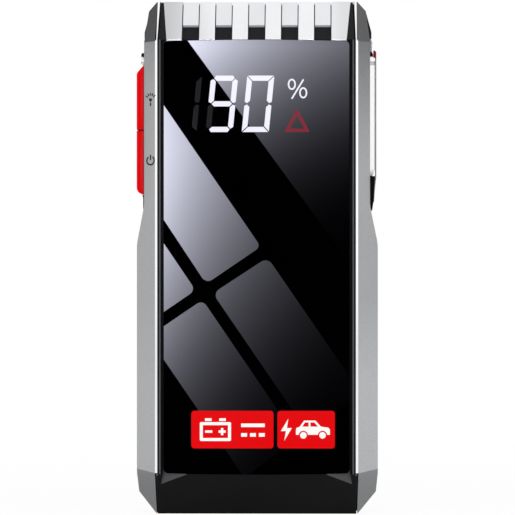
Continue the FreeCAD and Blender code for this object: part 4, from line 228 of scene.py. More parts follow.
def add(tree, kind, inputs=None, **settings):
    """Adds a node, sets its settings, then links or fills its inputs."""
    node = tree.nodes.new(kind)
    for name, value in settings.items():
        setattr(node, name, value)
    for key, value in (inputs or {}).items():
        if isinstance(value, bpy.types.NodeSocket):
            tree.links.new(value, node.inputs[key])
        else:
            node.inputs[key].default_value = value
    return node


def blank(name):
    """A material with an empty node tree and an output."""
    made = bpy.data.materials.new(name)
    made.use_nodes = True
    made.node_tree.nodes.clear()
    return made, made.node_tree, add(made.node_tree, "ShaderNodeOutputMaterial")


def grain(tree, size, detail=2.0, seed=0.0):
    """A value from 0 to 1 that changes over about size millimetres of the piece."""
    place = add(tree, "ShaderNodeTexCoord")
    shifted = add(tree, "ShaderNodeMapping", {"Vector": place.outputs["Object"], "Location": (seed, seed, seed)})
    noise = add(tree, "ShaderNodeTexNoise", {
        "Vector": shifted.outputs["Vector"], "Scale": 1 / (size * MM), "Detail": detail,
        "Roughness": NOISE_ROUGHNESS})
    made = add(tree, "ShaderNodeMapRange", {
        "Value": noise.outputs["Fac"], "From Min": NOISE_LOW, "From Max": NOISE_HIGH})
    return made.outputs["Result"]


def drifting_tint(tree, tones, wander):
    """A colour that drifts between two close tones over wander millimetres."""
    share = grain(tree, wander, DRIFT_DETAIL, DRIFT_SEED)
    made = add(tree, "ShaderNodeMix", {
        MIX_SHARE: share, MIX_FIRST: colour(tones[0]), MIX_SECOND: colour(tones[1])}, data_type="RGBA")
    return made.outputs[MIX_RESULT]


def coat(tree, out, tint, rough, size, depth=0.0, flat=False, **sockets):
    """Ends a material with a coat of this tint, with a grain of size millimetres in its gloss and, where depth
    isn't 0, in its relief. A flat coat mirrors by the true faces."""
    fine = grain(tree, size)
    gloss = add(tree, "ShaderNodeMapRange", {"Value": fine, "To Min": rough[0], "To Max": rough[1]})
    shader = add(tree, "ShaderNodeBsdfPrincipled", {
        "Base Color": tint, "Roughness": gloss.outputs["Result"], **sockets})
    if depth:
        relief = add(tree, "ShaderNodeBump", {"Height": fine, "Strength": 1.0, "Distance": depth * MM})
        tree.links.new(relief.outputs["Normal"], shader.inputs["Normal"])
    if flat:
        face = add(tree, "ShaderNodeNewGeometry")
        tree.links.new(face.outputs["True Normal"], shader.inputs["Normal"])
    tree.links.new(shader.outputs["BSDF"], out.inputs["Surface"])
    return shader


def surface(name, tones, rough, size, depth=0.0, wander=TINT_WANDER, flat=False, **sockets):
    """A finish of two close tones that drift over wander millimetres."""
    made, tree, out = blank(name)
    coat(tree, out, drifting_tint(tree, tones, wander), rough, size, depth, flat, **sockets)
    return made


def glowing(name, code):
    """A lit mark behind glass: its own light, with a trace of shine."""
    made, tree, out = blank(name)
    coat(tree, out, colour("#0A0A0C"), (0.06, 0.1), 1.5, **{
        "Emission Color": colour(code), "Emission Strength": 1.0, **LEAST_SHINE})
    return made


def roughen(tree, shader, where, rough):
    """Gives the shader another roughness where the mask is 1."""
    own = shader.inputs["Roughness"].links[0].from_socket
    changed = add(tree, "ShaderNodeMapRange", {"Value": where, "To Min": own, "To Max": rough})
    tree.links.new(changed.outputs["Result"], shader.inputs["Roughness"])


def spot(tree):
    """Where on the piece a point lies: its X, Y and Z in metres."""
    place = add(tree, "ShaderNodeTexCoord")
    return add(tree, "ShaderNodeSeparateXYZ", {"Vector": place.outputs["Object"]}).outputs


def key_abs():
    """Glossy ABS coloured in the mass, painted matt and dark where a key meets the other key or the case, as
    painted shade.
    """
    made, tree, out = blank("gloss_red_abs")
    at = spot(tree)
    # Painted shade: a band at the keys' parting and the part near the case are made dark and matt.
    parting_shade = add(tree, "ShaderNodeMath", {0: at["Z"], 1: KEY_PARTING_Z * MM, 2: KEY_PARTING_SHADE_HALF * MM},
                  operation="COMPARE")
    reach = add(tree, "ShaderNodeMath", {0: at["X"]}, operation="ABSOLUTE")
    root_shade = add(tree, "ShaderNodeMath", {0: reach.outputs[0], 1: KEY_ROOT_SHADE_X * MM}, operation="LESS_THAN")
    dark = add(tree, "ShaderNodeMath", {0: parting_shade.outputs[0], 1: root_shade.outputs[0]}, operation="MAXIMUM").outputs[0]
    red = drifting_tint(tree, ("#DA0004", "#E20006"), TINT_WANDER)
    tint = add(tree, "ShaderNodeMix", {MIX_SHARE: dark, MIX_FIRST: red, MIX_SECOND: colour("#7A0001")},
               data_type="RGBA")
    shader = coat(tree, out, tint.outputs[MIX_RESULT], (0.22, 0.28), 4.0, 0.001, **LEAST_SHINE)
    roughen(tree, shader, dark, MATT_ROUGH)
    return made


def bright_plate():
    """Bright plate over ABS, painted greyer in a line below its upper end, as painted shade, and over its foot, as
    a painted reflection of the black trim below it.
    """
    made, tree, out = blank("bright_plate")
    at = spot(tree)
    # Painted shade and painted reflection: the plate's tone is scaled down over its foot and in a line below its
    # upper end.
    painted_foot_shading = add(tree, "ShaderNodeMapRange", {
        "Value": at["Z"], "From Min": PLATE_FOOT_Z[0] * MM, "From Max": PLATE_FOOT_Z[1] * MM,
        "To Min": PLATE_FOOT_SHADE})
    line = add(tree, "ShaderNodeMath", {0: at["Z"], 1: PLATE_LINE_Z * MM, 2: PLATE_LINE_HALF * MM},
               operation="COMPARE")
    line = add(tree, "ShaderNodeMapRange", {"Value": line.outputs[0], "To Min": 1.0, "To Max": PLATE_LINE_SHADE})
    share = add(tree, "ShaderNodeMath", {0: painted_foot_shading.outputs["Result"], 1: line.outputs["Result"]},
                operation="MULTIPLY")
    plate = drifting_tint(tree, ("#F9F9FA", "#FDFDFD"), TINT_WANDER)
    tint = add(tree, "ShaderNodeVectorMath", {0: plate, "Scale": share.outputs[0]}, operation="SCALE")
    coat(tree, out, tint.outputs["Vector"], (0.16, 0.22), 3.0, Metallic=0.25)
    return made


def rail_lacquer():
    """Silver lacquer on moulded ABS, with the narrow front edge machined through and polished bright. Inside the
    edge's inner line it is painted dark and matt, as painted shade of the gap to the bezel, and towards the foot
    it is painted paler, as painted light."""
    made, tree, out = blank("silver_lacquer_on_abs")
    at = spot(tree)
    reach = add(tree, "ShaderNodeMath", {0: at["X"]}, operation="ABSOLUTE")
    above = add(tree, "ShaderNodeMath", {0: at["Z"], 1: STRIP_FOLD_Z * MM}, operation="SUBTRACT")
    above = add(tree, "ShaderNodeMath", {0: above.outputs[0], 1: 0.0}, operation="MAXIMUM")
    reach = add(tree, "ShaderNodeMath", {0: above.outputs[0], 1: STRIP_LEAN, 2: reach.outputs[0]},
                operation="MULTIPLY_ADD")
    inner = add(tree, "ShaderNodeMath", {0: reach.outputs[0], 1: STRIP_OUT * MM}, operation="LESS_THAN")
    ahead = add(tree, "ShaderNodeMath", {0: at["Y"], 1: STRIP_BACK_Y * MM}, operation="LESS_THAN")
    ahead = add(tree, "ShaderNodeMath", {0: ahead.outputs[0], 1: above.outputs[0]}, operation="MAXIMUM")
    ahead = add(tree, "ShaderNodeMath", {0: ahead.outputs[0], 1: 0.0}, operation="GREATER_THAN")
    edge = add(tree, "ShaderNodeMath", {0: inner.outputs[0], 1: ahead.outputs[0]}, operation="MULTIPLY").outputs[0]
    # Painted shade: inside the strip's inner line the rail is made dark, matt and not metallic, for the shade in
    # the gap between rail and bezel.
    painted_gap_shade = add(tree, "ShaderNodeMath", {0: reach.outputs[0], 1: STRIP_IN * MM}, operation="LESS_THAN").outputs[0]
    fine = grain(tree, FLAKE_SIZE, detail=0.0, seed=FLAKE_SEED)
    flakes = add(tree, "ShaderNodeMix", {
        MIX_SHARE: fine, MIX_FIRST: colour("#A9AAAC"), MIX_SECOND: colour("#B1B2B3")}, data_type="RGBA")
    broad = grain(tree, RAIL_WANDER, seed=DRIFT_SEED)
    drift = add(tree, "ShaderNodeMapRange", {"Value": broad, "To Max": RAIL_DRIFT})
    lacquer = add(tree, "ShaderNodeMix", {
        MIX_SHARE: drift.outputs["Result"], MIX_FIRST: flakes.outputs[MIX_RESULT], MIX_SECOND: colour("#B7B8BA")},
        data_type="RGBA")
    # Painted light: the lacquer is made paler towards the foot, most on the right rail.
    painted_foot_shading = add(tree, "ShaderNodeMapRange", {
        "Value": at["X"], "From Min": RAIL_PAINTED_LIGHT_X[0] * MM, "From Max": RAIL_PAINTED_LIGHT_X[1] * MM,
        "To Min": RAIL_PAINTED_LIGHT_AT_FOOT[0], "To Max": RAIL_PAINTED_LIGHT_AT_FOOT[1]})
    painted_light_share = add(tree, "ShaderNodeMapRange", {
        "Value": at["Z"], "From Min": RAIL_PAINTED_LIGHT_Z[0] * MM, "From Max": RAIL_PAINTED_LIGHT_Z[1] * MM,
        "To Min": painted_foot_shading.outputs["Result"], "To Max": RAIL_PAINTED_LIGHT_ABOVE})
    lacquer = add(tree, "ShaderNodeVectorMath", {0: lacquer.outputs[MIX_RESULT], "Scale": painted_light_share.outputs["Result"]},
                  operation="SCALE")
    tint = lacquer.outputs["Vector"]
    for mask, code in ((edge, "#FFFFFF"), (painted_gap_shade, "#222224")):
        mixed = add(tree, "ShaderNodeMix", {MIX_SHARE: mask, MIX_FIRST: tint, MIX_SECOND: colour(code)},
                    data_type="RGBA")
        tint = mixed.outputs[MIX_RESULT]
    metal = add(tree, "ShaderNodeMapRange", {"Value": edge, "To Min": RAIL_METALLIC, "To Max": 1.0})
    metal = add(tree, "ShaderNodeMapRange", {
        "Value": painted_gap_shade, "To Min": metal.outputs["Result"], "To Max": 0.0})
    shader = coat(tree, out, tint, (0.3, 0.36), 0.9, 0.002, Metallic=metal.outputs["Result"])
    roughen(tree, shader, edge, STRIP_ROUGH)
    roughen(tree, shader, painted_gap_shade, MATT_ROUGH)
    return made


def comb_lacquer():
    """The comb's brighter lacquer over a white primer, painted darker over both ends as painted shade."""
    made, tree, out = blank("bright_silver_lacquer")
    at = spot(tree)
    ends = []
    # Painted shade: the tone falls towards both ends of the comb, more on the left.
    for end, fade, share in ((-COMB_END, COMB_LEFT_FADE, COMB_LEFT_SHADE),
                             (COMB_END, -COMB_RIGHT_FADE, COMB_RIGHT_SHADE)):
        ends.append(add(tree, "ShaderNodeMapRange", {
            "Value": at["X"], "From Min": end * MM, "From Max": (end + fade) * MM, "To Min": share}))
    share = add(tree, "ShaderNodeMath", {0: ends[0].outputs["Result"], 1: ends[1].outputs["Result"]},
                operation="MULTIPLY")
    silver = drifting_tint(tree, ("#E8E9EB", "#F0F1F2"), TINT_WANDER)
    tint = add(tree, "ShaderNodeVectorMath", {0: silver, "Scale": share.outputs[0]}, operation="SCALE")
    coat(tree, out, tint.outputs["Vector"], (0.3, 0.38), 0.7, Metallic=0.55)
    return made


def bezel_resin():
    """Black PC and ABS with one roughness and shine all over. Its tone is painted by the way each face points:
    darker on the front face, as painted shade, and paler on top faces, corner facets and cut bevels, as painted
    light and painted highlight."""
    made, tree, out = blank("semi_polished_black_pc_abs")
    face = add(tree, "ShaderNodeNewGeometry")
    split = add(tree, "ShaderNodeSeparateXYZ", {"Vector": face.outputs["True Normal"]})
    lean = add(tree, "ShaderNodeMath", {0: split.outputs["X"]}, operation="ABSOLUTE")
    facet_light = add(tree, "ShaderNodeMath", {0: lean.outputs[0], 1: CORNER_FACET_LEAN, 2: LEAN_TOLERANCE},
                operation="COMPARE")
    bevel_highlight = add(tree, "ShaderNodeMath", {0: lean.outputs[0], 1: BEVEL_LEAN, 2: LEAN_TOLERANCE},
                operation="COMPARE")
    front_shade = add(tree, "ShaderNodeMath", {0: split.outputs["Y"], 1: FRONT_FACING}, operation="LESS_THAN")
    top_light = add(tree, "ShaderNodeMath", {0: split.outputs["Z"], 1: TOP_FACING}, operation="GREATER_THAN")
    tint = drifting_tint(tree, ("#131314", "#171718"), TINT_WANDER)
    # Painted light and shade: the tone follows the way each face points.
    for mask, code in ((front_shade, "#040406"), (top_light, "#202022"), (facet_light, "#4E4E50"), (bevel_highlight, "#6A6A6C")):
        mixed = add(tree, "ShaderNodeMix", {MIX_SHARE: mask.outputs[0], MIX_FIRST: tint, MIX_SECOND: colour(code)},
                    data_type="RGBA")
        tint = mixed.outputs[MIX_RESULT]
    coat(tree, out, tint, (0.4, 0.46), 1.2, 0.0015, **LEAST_SHINE)
    return made


finishes = {
    # Float glass printed black on its back, with a coating that halves its shine: deep black, with clear
    # reflections.
    "glass_black": surface("coated_glass_printed_black", ("#000001", "#010102"), (0.004, 0.008), 12.0, flat=True,
                           IOR=1.5, **HALF_SHINE),
    # ABS from a spark-eroded tool: an even fine grain that breaks up the light.
    "case_black": surface("spark_grained_black_abs", ("#17171A", "#1C1C1F"), (0.44, 0.58), 0.8, 0.012),
    # PC and ABS from a semi-polished tool: smooth, with a soft shine.
    "bezel_black": bezel_resin(),
    # Silver lacquer with fine flakes, and a bright machined edge that catches the light.
    "rail_silver": rail_lacquer(),
    # A brighter silver over white, which makes the ribs the palest pieces.
    "comb_silver": comb_lacquer(),
    # Frosted polycarbonate over the white reflector: a soft pale block between the ribs.
    "lens_frost": surface("frosted_polycarbonate", ("#D3D5D9", "#DBDDE0"), (0.4, 0.5), 1.0, 0.004),
    # Glossy ABS coloured in the mass: an even strong red.
    "key_red": key_abs(),
    # Semi-gloss black ABS: deep black beside the keys and the flap.
    "trim_black": surface("semi_gloss_black_abs", ("#060607", "#09090A"), (0.34, 0.4), 6.0, **LEAST_SHINE),
    # Bright plate over ABS: a near white line around the keys and the flap.
    "bright_frame": bright_plate(),
    # Soft-touch grey lacquer on the port flap.
    "cover_grey": surface("satin_grey_lacquer", ("#8A8B8D", "#929395"), (0.4, 0.5), 0.8, 0.004),
    # Black thermoplastic elastomer, slightly dusty.
    "cover_black": surface("black_elastomer", ("#1B1B1D", "#232326"), (0.5, 0.62), 0.9, 0.008),
    # Die-cut rubber pads, dull all over.
    "pad_rubber": surface("die_cut_black_rubber", ("#1A1A1A", "#262627"), (0.65, 0.8), 0.7, 0.012),
    # Steel screws blackened by zinc plating.
    "screw_steel": surface("black_zinc_steel", ("#6A6A6C", "#7B7B7D"), (0.25, 0.4), 0.5, 0.0016, **METAL),
    # Glass-fibre laminate under green solder mask, mottled by the copper beneath.
    "circuit_green": surface("green_solder_mask", ("#0F4A2B", "#14603A"), (0.25, 0.4), 1.4, 0.004,
                             wander=3.0),
    # Epoxy-moulded packages, evenly matt.
    "component_black": surface("moulded_epoxy_black", ("#19191A", "#202021"), (0.5, 0.6), 0.5, 0.004),
    # The readout's body, matt so that only the digits shine.
    "display_body": surface("matte_black_polycarbonate", ("#161617", "#1C1C1E"), (0.55, 0.65), 0.8, 0.004),
    # Diffusing acrylic of the light pipes, milky and even.
    "light_pipe": surface("diffusing_acrylic", ("#D9DBE6", "#E4E6F0"), (0.3, 0.4), 1.0),
    # Gloss white that throws the torch's light forwards.
    "reflector_white": surface("gloss_white_abs", ("#E9E9E4", "#F0F0EC"), (0.15, 0.22), 2.0),
    # Yellow phosphor under a clear dome.
    "led_phosphor": surface("led_phosphor", ("#EAD672", "#F2E39A"), (0.2, 0.3), 0.4, 0.004),
    # Foam tape, dull with open pores.
    "tape_black": surface("black_foam_tape", ("#202020", "#2A2A2A"), (0.7, 0.85), 0.5, 0.008),
    # Polyimide film with its copper lines just showing through.
    "ribbon_amber": surface("polyimide_film", ("#B8792A", "#C98F3C"), (0.2, 0.3), 1.0),
    # Rolled sheet, with a soft satin shine.
    "spreader_aluminium": surface("rolled_aluminium", ("#B7B9BC", "#C6C8CA"), (0.3, 0.42), 0.6, **METAL),
    # Drawn cans, a little brighter than the sheet.
    "can_aluminium": surface("drawn_aluminium_can", ("#C3C4C8", "#D0D1D4"), (0.25, 0.35), 0.8, **METAL),
    # Pressed ferrite powder, dull and slightly pitted.
    "ferrite_grey": surface("pressed_ferrite", ("#37373A", "#424245"), (0.6, 0.75), 0.5, 0.012),
    # Nickel-plated steel of the port shells, bright with a faint rolling grain.
    "port_steel": surface("nickel_plated_steel", ("#B9B9BA", "#C6C6C6"), (0.22, 0.32), 0.8, **METAL),
    # Gold-plated brass of the contacts.
    "contact_brass": surface("plated_brass", ("#C9A14C", "#D8B463"), (0.2, 0.3), 0.8, **METAL),
    # Nylon and aluminium laminate of the cells, faintly wrinkled.
    "cell_pouch": surface("laminated_foil", ("#B9BCC2", "#C7CAD0"), (0.3, 0.42), 2.0, 0.008, Metallic=0.8),
    # Open-cell foam, dull with a coarse grain.
    "foam_grey": surface("open_cell_foam", ("#3C3C3E", "#4A4A4C"), (0.8, 0.9), 0.6, 0.03),
    # Nickel strip, slightly warm.
    "tab_nickel": surface("nickel_strip", ("#B5B2AA", "#C2C0B8"), (0.25, 0.35), 0.7, **METAL),
    # Silicone-sleeved stranded leads, satin.
    "lead_red": surface("red_silicone_sleeve", ("#A30C10", "#B51216"), (0.4, 0.5), 0.8, 0.004),
    "lead_black": surface("black_silicone_sleeve", ("#131314", "#1A1A1B"), (0.4, 0.5), 0.8, 0.004),
}

# Pieces with a finish of their own: the flap's finger tab is painted a darker red than the keys, as painted shade.
own_finishes = {
    "port_cover_tab": surface("painted_shade_red_abs", ("#8C0A1A", "#960C1C"), (0.22, 0.28), 4.0, 0.001, **LOW_SHINE),
}

# Screen print and the lit readout behind the glass.
readout_white = glowing("lit_readout_white", "#F2F1FD")
readout_red = glowing("lit_readout_red", "#80222F")
readout_dark = surface("unlit_readout_grey", ("#0C0D0B", "#0F100E"), (0.3, 0.35), 1.5, **LEAST_SHINE)
field_red = surface("screen_printed_red", ("#DC0003", "#E00005"), (0.45, 0.5), 0.9, **LEAST_SHINE)
field_white = surface("screen_printed_white", ("#F6F3F0", "#FBF9F7"), (0.45, 0.5), 0.9, **LOW_SHINE)
mark_dark = surface("pad_printed_charcoal", ("#060607", "#0A0A0B"), (0.45, 0.55), 0.7, **LEAST_SHINE)

for row in frame["record"]["subparts"]:
    node = frame["nodes"][row["node"]]
    for slot in node.material_slots:
        slot.material = own_finishes.get(row["node"], finishes[row["material_slot"]])
    # Broad flat faces shade flat, and only the narrow roundings between them bend the light. The weight is the
    # largest there is, so that a broad face outweighs the narrow ones beside it.
    level = node.modifiers.new("flat_faces", "WEIGHTED_NORMAL")
    level.weight = 100
    level.keep_sharp = True


def on_front(point, lift=0.0):
    """A place on the glass for a flat point, lift millimetres in front of it."""
    return Vector((point[0], GLASS_Y - lift, point[1])) * MM


def on_left_slope(point, lift=0.0):
    """A place on the left rail's sloped side: the flat point's first value runs from its front edge to its
    back."""
    start = Vector((*SLOPE_IN, 0.0))
    run = (Vector((*SLOPE_OUT, 0.0)) - start).normalized()
    out = Vector((-run.y, run.x, 0.0))
    flat = start + run * point[0] + out * lift
    return Vector((flat.x, flat.y, point[1])) * MM


def flat_piece(name, outlines, material, place=on_front, low=0.0, high=MARK_THICK):
    """One closed thin solid for each outline. An outline is a ring of flat points, or a pair of rings of equal
    length for a frame with a hole."""
    mesh = bmesh.new()
    for outline in outlines:
        rings = outline if isinstance(outline[0][0], (tuple, list)) else (outline,)
        layers = [[[mesh.verts.new(place(p, lift)) for p in ring] for ring in rings] for lift in (low, high)]
        count = len(rings[0])
        for i in range(count):
            j = (i + 1) % count
            for k in range(len(rings)):
                mesh.faces.new((layers[0][k][i], layers[0][k][j], layers[1][k][j], layers[1][k][i]))
            if len(rings) == 2:
                for layer in layers:
                    mesh.faces.new((layer[0][i], layer[0][j], layer[1][j], layer[1][i]))
        if len(rings) == 1:
            for layer in layers:
                mesh.faces.new(layer[0])
    bmesh.ops.recalc_face_normals(mesh, faces=mesh.faces)
    data = bpy.data.meshes.new(name)
    mesh.to_mesh(data)
    mesh.free()
    data.materials.append(material)
    made = bpy.data.objects.new(name, data)
    bpy.context.scene.collection.objects.link(made)
    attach(made, "case")


def offset_ring(points, distance):
    """The ring moved inwards by distance, for a ring that runs anticlockwise."""
    made = []
    count = len(points)
    for i in range(count):
        a, b, c = (Vector(points[(i + k) % count]) for k in (-1, 0, 1))
        first, second = (b - a).normalized(), (c - b).normalized()
        n1, n2 = Vector((-first.y, first.x)), Vector((-second.y, second.x))
        middle = (n1 + n2) / (1 + n1.dot(n2))
        made.append(tuple(b + middle * distance))
    return made


def rounded(points, radius, steps=5):
    """The ring with each corner rounded to radius, or to its own radius from a list."""
    made = []
    count = len(points)
    radii = radius if isinstance(radius, (tuple, list)) else [radius] * count
    for i in range(count):
        a, b, c = (Vector(points[(i + k) % count]) for k in (-1, 0, 1))
        back, ahead = (a - b).normalized(), (c - b).normalized()
        half = math.acos(max(-1.0, min(1.0, back.dot(ahead)))) / 2
        reach = radii[i] / math.tan(half)
        first, last = b + back * reach, b + ahead * reach
        centre = b + (back + ahead).normalized() * (radii[i] / math.sin(half))
        first, last = (first - centre).normalized(), (last - centre).normalized()
        for k in range(steps + 1):
            made.append(tuple(centre + first.slerp(last, k / steps) * radii[i]))
    return made


def arc(middle, radius, start, end, steps):
    """Points along part of a circle, by angles in degrees from the right."""
    turns = [math.radians(start + (end - start) * i / steps) for i in range(steps + 1)]
    return [(middle[0] + radius * math.cos(t), middle[1] + radius * math.sin(t)) for t in turns]


def oval(middle, half_x, half_z, count=32):
    """Points around an oval."""
    turns = [2 * math.pi * i / count for i in range(count)]
    return [(middle[0] + half_x * math.cos(t), middle[1] + half_z * math.sin(t)) for t in turns]


def bar(start, end, width):
    """A straight stroke between two flat points."""
    a, b = Vector(start), Vector(end)
    side = (b - a).normalized().orthogonal() * (width / 2)
    return [tuple(p) for p in (a - side, b - side, b + side, a + side)]


def box_ring(x0, z0, x1, z1):
    """The four corners of a rectangle, anticlockwise."""
    return [(x0, z0), (x1, z0), (x1, z1), (x0, z1)]


def plus_ring(middle, length, stroke):
    """The outline of a plus sign."""
    x, z = middle
    far, near = length / 2, stroke / 2
    corners = [(near, -far), (near, -near), (far, -near), (far, near), (near, near), (near, far),
               (-near, far), (-near, near), (-far, near), (-far, -near), (-near, -near), (-near, -far)]
    return [(x + a, z + b) for a, b in corners]


def moved(points, middle):
    """The points, moved so that their origin is at middle."""
    return [(x + middle[0], z + middle[1]) for x, z in points]


def segment(letter, left, cut):
    """One segment of a slanted seven-segment digit, with mitred ends and its outer corners cut back to a blunt
    point on the mitre."""
    low, high = DIGIT_LOW_Z, DIGIT_LOW_Z + DIGIT_HEIGHT
    mid = (low + high) / 2
    right = left + DIGIT_WIDTH
    w, g = SEGMENT_WIDTH, SEGMENT_GAP
    half = w / 2
    m = cut * CUT_POINT_SHARE
    flat = {
        "a": [(left + g + cut, high), (left + g + m, high - m), (left + w + g, high - w),
              (right - w - g, high - w), (right - g - m, high - m), (right - g - cut, high)],
        "d": [(left + g + cut, low), (right - g - cut, low), (right - g - m, low + m),
              (right - w - g, low + w), (left + w + g, low + w), (left + g + m, low + m)],
        "g": [(left + half + g, mid), (left + w + g, mid - half), (right - w - g, mid - half),
              (right - half - g, mid), (right - w - g, mid + half), (left + w + g, mid + half)],
    }
    if letter in flat:
        ring = flat[letter]
    else:
        side = -1 if letter in "ef" else 1
        outer = left if side < 0 else right
        upper = letter in "bf"
        end = high if upper else low
        turn = 1 if upper else -1
        ring = [
            (outer, end - turn * (g + cut)),
            (outer - side * m, end - turn * (g + m)),
            (outer - side * w, end - turn * (w + g)),
            (outer - side * w, mid + turn * (half + g)),
            (outer - side * half, mid + turn * g),
            (outer, mid + turn * (half / 2 + g)),
        ]
    return [(x + (z - low) * DIGIT_SLANT, z) for x, z in ring]


def digit(letters, place, cut):
    """The segments with these letters of the digit that stands this many places from the right."""
    left = DIGIT_RIGHT_X - DIGIT_WIDTH / 2 - DIGIT_SLANT * DIGIT_HEIGHT / 2 - place * DIGIT_PITCH
    return [segment(letter, left, cut) for letter in letters]


# The readout says 90 percent, with its unlit segments just visible.
lit = digit("abcdef", 0, RIGHT_CORNER_CUT) + digit("abcdfg", 1, SEGMENT_CORNER_CUT)
flat_piece("readout_lit_segments", lit, readout_white)
unlit = digit("e", 1, SEGMENT_CORNER_CUT) + digit("bc", 2, HUNDREDS_CORNER_CUT)
flat_piece("readout_dark_segments", unlit, readout_dark, high=MARK_THICK / 2)

percent = [bar(*PERCENT_SLASH, PERCENT_STROKE)]
for middle in PERCENT_RINGS:
    outer = oval(middle, *PERCENT_RING_SIZE)
    inner = oval(middle, *(size - PERCENT_STROKE for size in PERCENT_RING_SIZE))
    percent.append((outer, inner))
flat_piece("readout_percent_sign", percent, readout_white)

corners = [(TRIANGLE_APEX[0] + side * TRIANGLE_HALF, TRIANGLE_BASE_Z) for side in (-1, 1)] + [TRIANGLE_APEX]
triangle = (rounded(corners, TRIANGLE_ROUND), rounded(offset_ring(corners, TRIANGLE_STROKE), INNER_ROUND))
flat_piece("readout_alert_triangle", [triangle], readout_red)

# Red fields, with generic pictograms where the photographed ones carry words.
for name, (x0, x1) in (("left_red_field", LEFT_FIELD_X), ("right_red_field", RIGHT_FIELD_X)):
    flat_piece(name, [rounded(box_ring(x0, FIELD_LOW_Z, x1, FIELD_TOP_Z), FIELD_ROUND)], field_red)

battery_case = box_ring(BATTERY_X[0], BATTERY_Z[0], BATTERY_X[1], BATTERY_Z[1])
battery_mid_x = (BATTERY_X[0] + BATTERY_X[1]) / 2
battery = [(rounded(battery_case, BATTERY_ROUND),
            rounded(offset_ring(battery_case, BATTERY_STROKE), INNER_ROUND))]
terminal_z = BATTERY_Z[1] + TERMINAL_GAP
for x0 in (BATTERY_X[0] + TERMINAL_INSET, BATTERY_X[1] - TERMINAL_INSET - TERMINAL_SIZE[0]):
    battery.append(box_ring(x0, terminal_z, x0 + TERMINAL_SIZE[0], terminal_z + TERMINAL_SIZE[1]))
minus_x = battery_mid_x - SIGN_SPREAD
battery.append(bar((minus_x - SIGN_LENGTH / 2, SIGN_Z), (minus_x + SIGN_LENGTH / 2, SIGN_Z), SIGN_STROKE))
battery.append(plus_ring((battery_mid_x + SIGN_SPREAD, SIGN_Z), SIGN_LENGTH, SIGN_STROKE))

direct = [box_ring(DIRECT_X[0], DIRECT_BAR_Z[0], DIRECT_X[1], DIRECT_BAR_Z[1])]
dash = (DIRECT_X[1] - DIRECT_X[0] - (DIRECT_DASHES - 1) * DIRECT_DASH_GAP) / DIRECT_DASHES
for i in range(DIRECT_DASHES):
    x0 = DIRECT_X[0] + i * (dash + DIRECT_DASH_GAP)
    direct.append(box_ring(x0, DIRECT_DASH_Z[0], x0 + dash, DIRECT_DASH_Z[1]))

bolt = [moved(BOLT_OUTLINE, BOLT_MIDDLE)]

sill = []
for x in (-WHEEL_X, WHEEL_X):
    sill += arc((x, WHEEL_Z), WHEEL_ARCH_RADIUS, *WHEEL_ARCH_ENDS, WHEEL_STEPS)
car = [moved(sill + list(CAR_UPPER_OUTLINE), CAR_MIDDLE)]
for x in (-WHEEL_X, WHEEL_X):
    car.append(oval((CAR_MIDDLE[0] + x, CAR_MIDDLE[1] + WHEEL_Z), WHEEL_RADIUS, WHEEL_RADIUS))

for name, outlines in (("battery_pictogram", battery), ("direct_current_pictogram", direct),
                       ("bolt_pictogram", bolt), ("car_pictogram", car)):
    flat_piece(name, outlines, field_white, low=MARK_THICK, high=TOP_MARK_THICK)
flat_piece("car_windows", [moved(w, CAR_MIDDLE) for w in CAR_SIDE_WINDOWS], field_red,
           low=TOP_MARK_THICK, high=2 * TOP_MARK_THICK - MARK_THICK)


def on_icon(points, mid_z):
    """The points of a mark beside a key, stretched along the slope. Their right side lies towards the front."""
    return [(ICON_RUN - x * ICON_STRETCH, mid_z + z) for x, z in points]


torch = [on_icon(TORCH_HEAD, TORCH_ICON_Z), on_icon(box_ring(*TORCH_HANDLE), TORCH_ICON_Z)]
for angle in TORCH_RAY_ANGLES:
    ends = [arc((0.0, 0.0), radius, angle, angle, 1)[0] for radius in TORCH_RAY_SPAN]
    torch.append(on_icon(bar(*ends, TORCH_RAY_STROKE), TORCH_ICON_Z))
flat_piece("torch_key_mark", torch, mark_dark, place=on_left_slope)

# The ring of the power sign is open at its top, where the upright stands.
first, last = 90.0 + POWER_GAP_ANGLE, 450.0 - POWER_GAP_ANGLE
loop = arc((0.0, 0.0), POWER_RADIUS + ICON_STROKE / 2, first, last, POWER_STEPS)
loop += arc((0.0, 0.0), POWER_RADIUS - ICON_STROKE / 2, last, first, POWER_STEPS)
upright = bar((0.0, POWER_BAR[0]), (0.0, POWER_BAR[1]), ICON_STROKE)
power = [on_icon(loop, POWER_ICON_Z), on_icon(upright, POWER_ICON_Z)]
flat_piece("power_key_mark", power, mark_dark, place=on_left_slope)


# One Geometry Nodes tree lays out the contacts in a row for both ports.
contact_tree = bpy.data.node_groups.new("contact_row", "GeometryNodeTree")
contact_sockets = {}
for label, kind in (("Count", "NodeSocketInt"), ("First", "NodeSocketVector"), ("Pitch", "NodeSocketVector"),
                    ("Size", "NodeSocketVector")):
    contact_sockets[label] = contact_tree.interface.new_socket(label, in_out="INPUT", socket_type=kind).identifier
contact_tree.interface.new_socket("Geometry", in_out="OUTPUT", socket_type="NodeSocketGeometry")
given = add(contact_tree, "NodeGroupInput")
line = add(contact_tree, "GeometryNodeMeshLine", {
    "Count": given.outputs["Count"], "Start Location": given.outputs["First"], "Offset": given.outputs["Pitch"]})
block = add(contact_tree, "GeometryNodeMeshCube", {"Size": given.outputs["Size"]})
placed = add(contact_tree, "GeometryNodeInstanceOnPoints", {
    "Points": line.outputs["Mesh"], "Instance": block.outputs["Mesh"]})
plain = add(contact_tree, "GeometryNodeRealizeInstances", {"Geometry": placed.outputs["Instances"]})
plated = add(contact_tree, "GeometryNodeSetMaterial", {
    "Geometry": plain.outputs["Geometry"], "Material": finishes["contact_brass"]})
add(contact_tree, "NodeGroupOutput", {"Geometry": plated.outputs["Geometry"]})


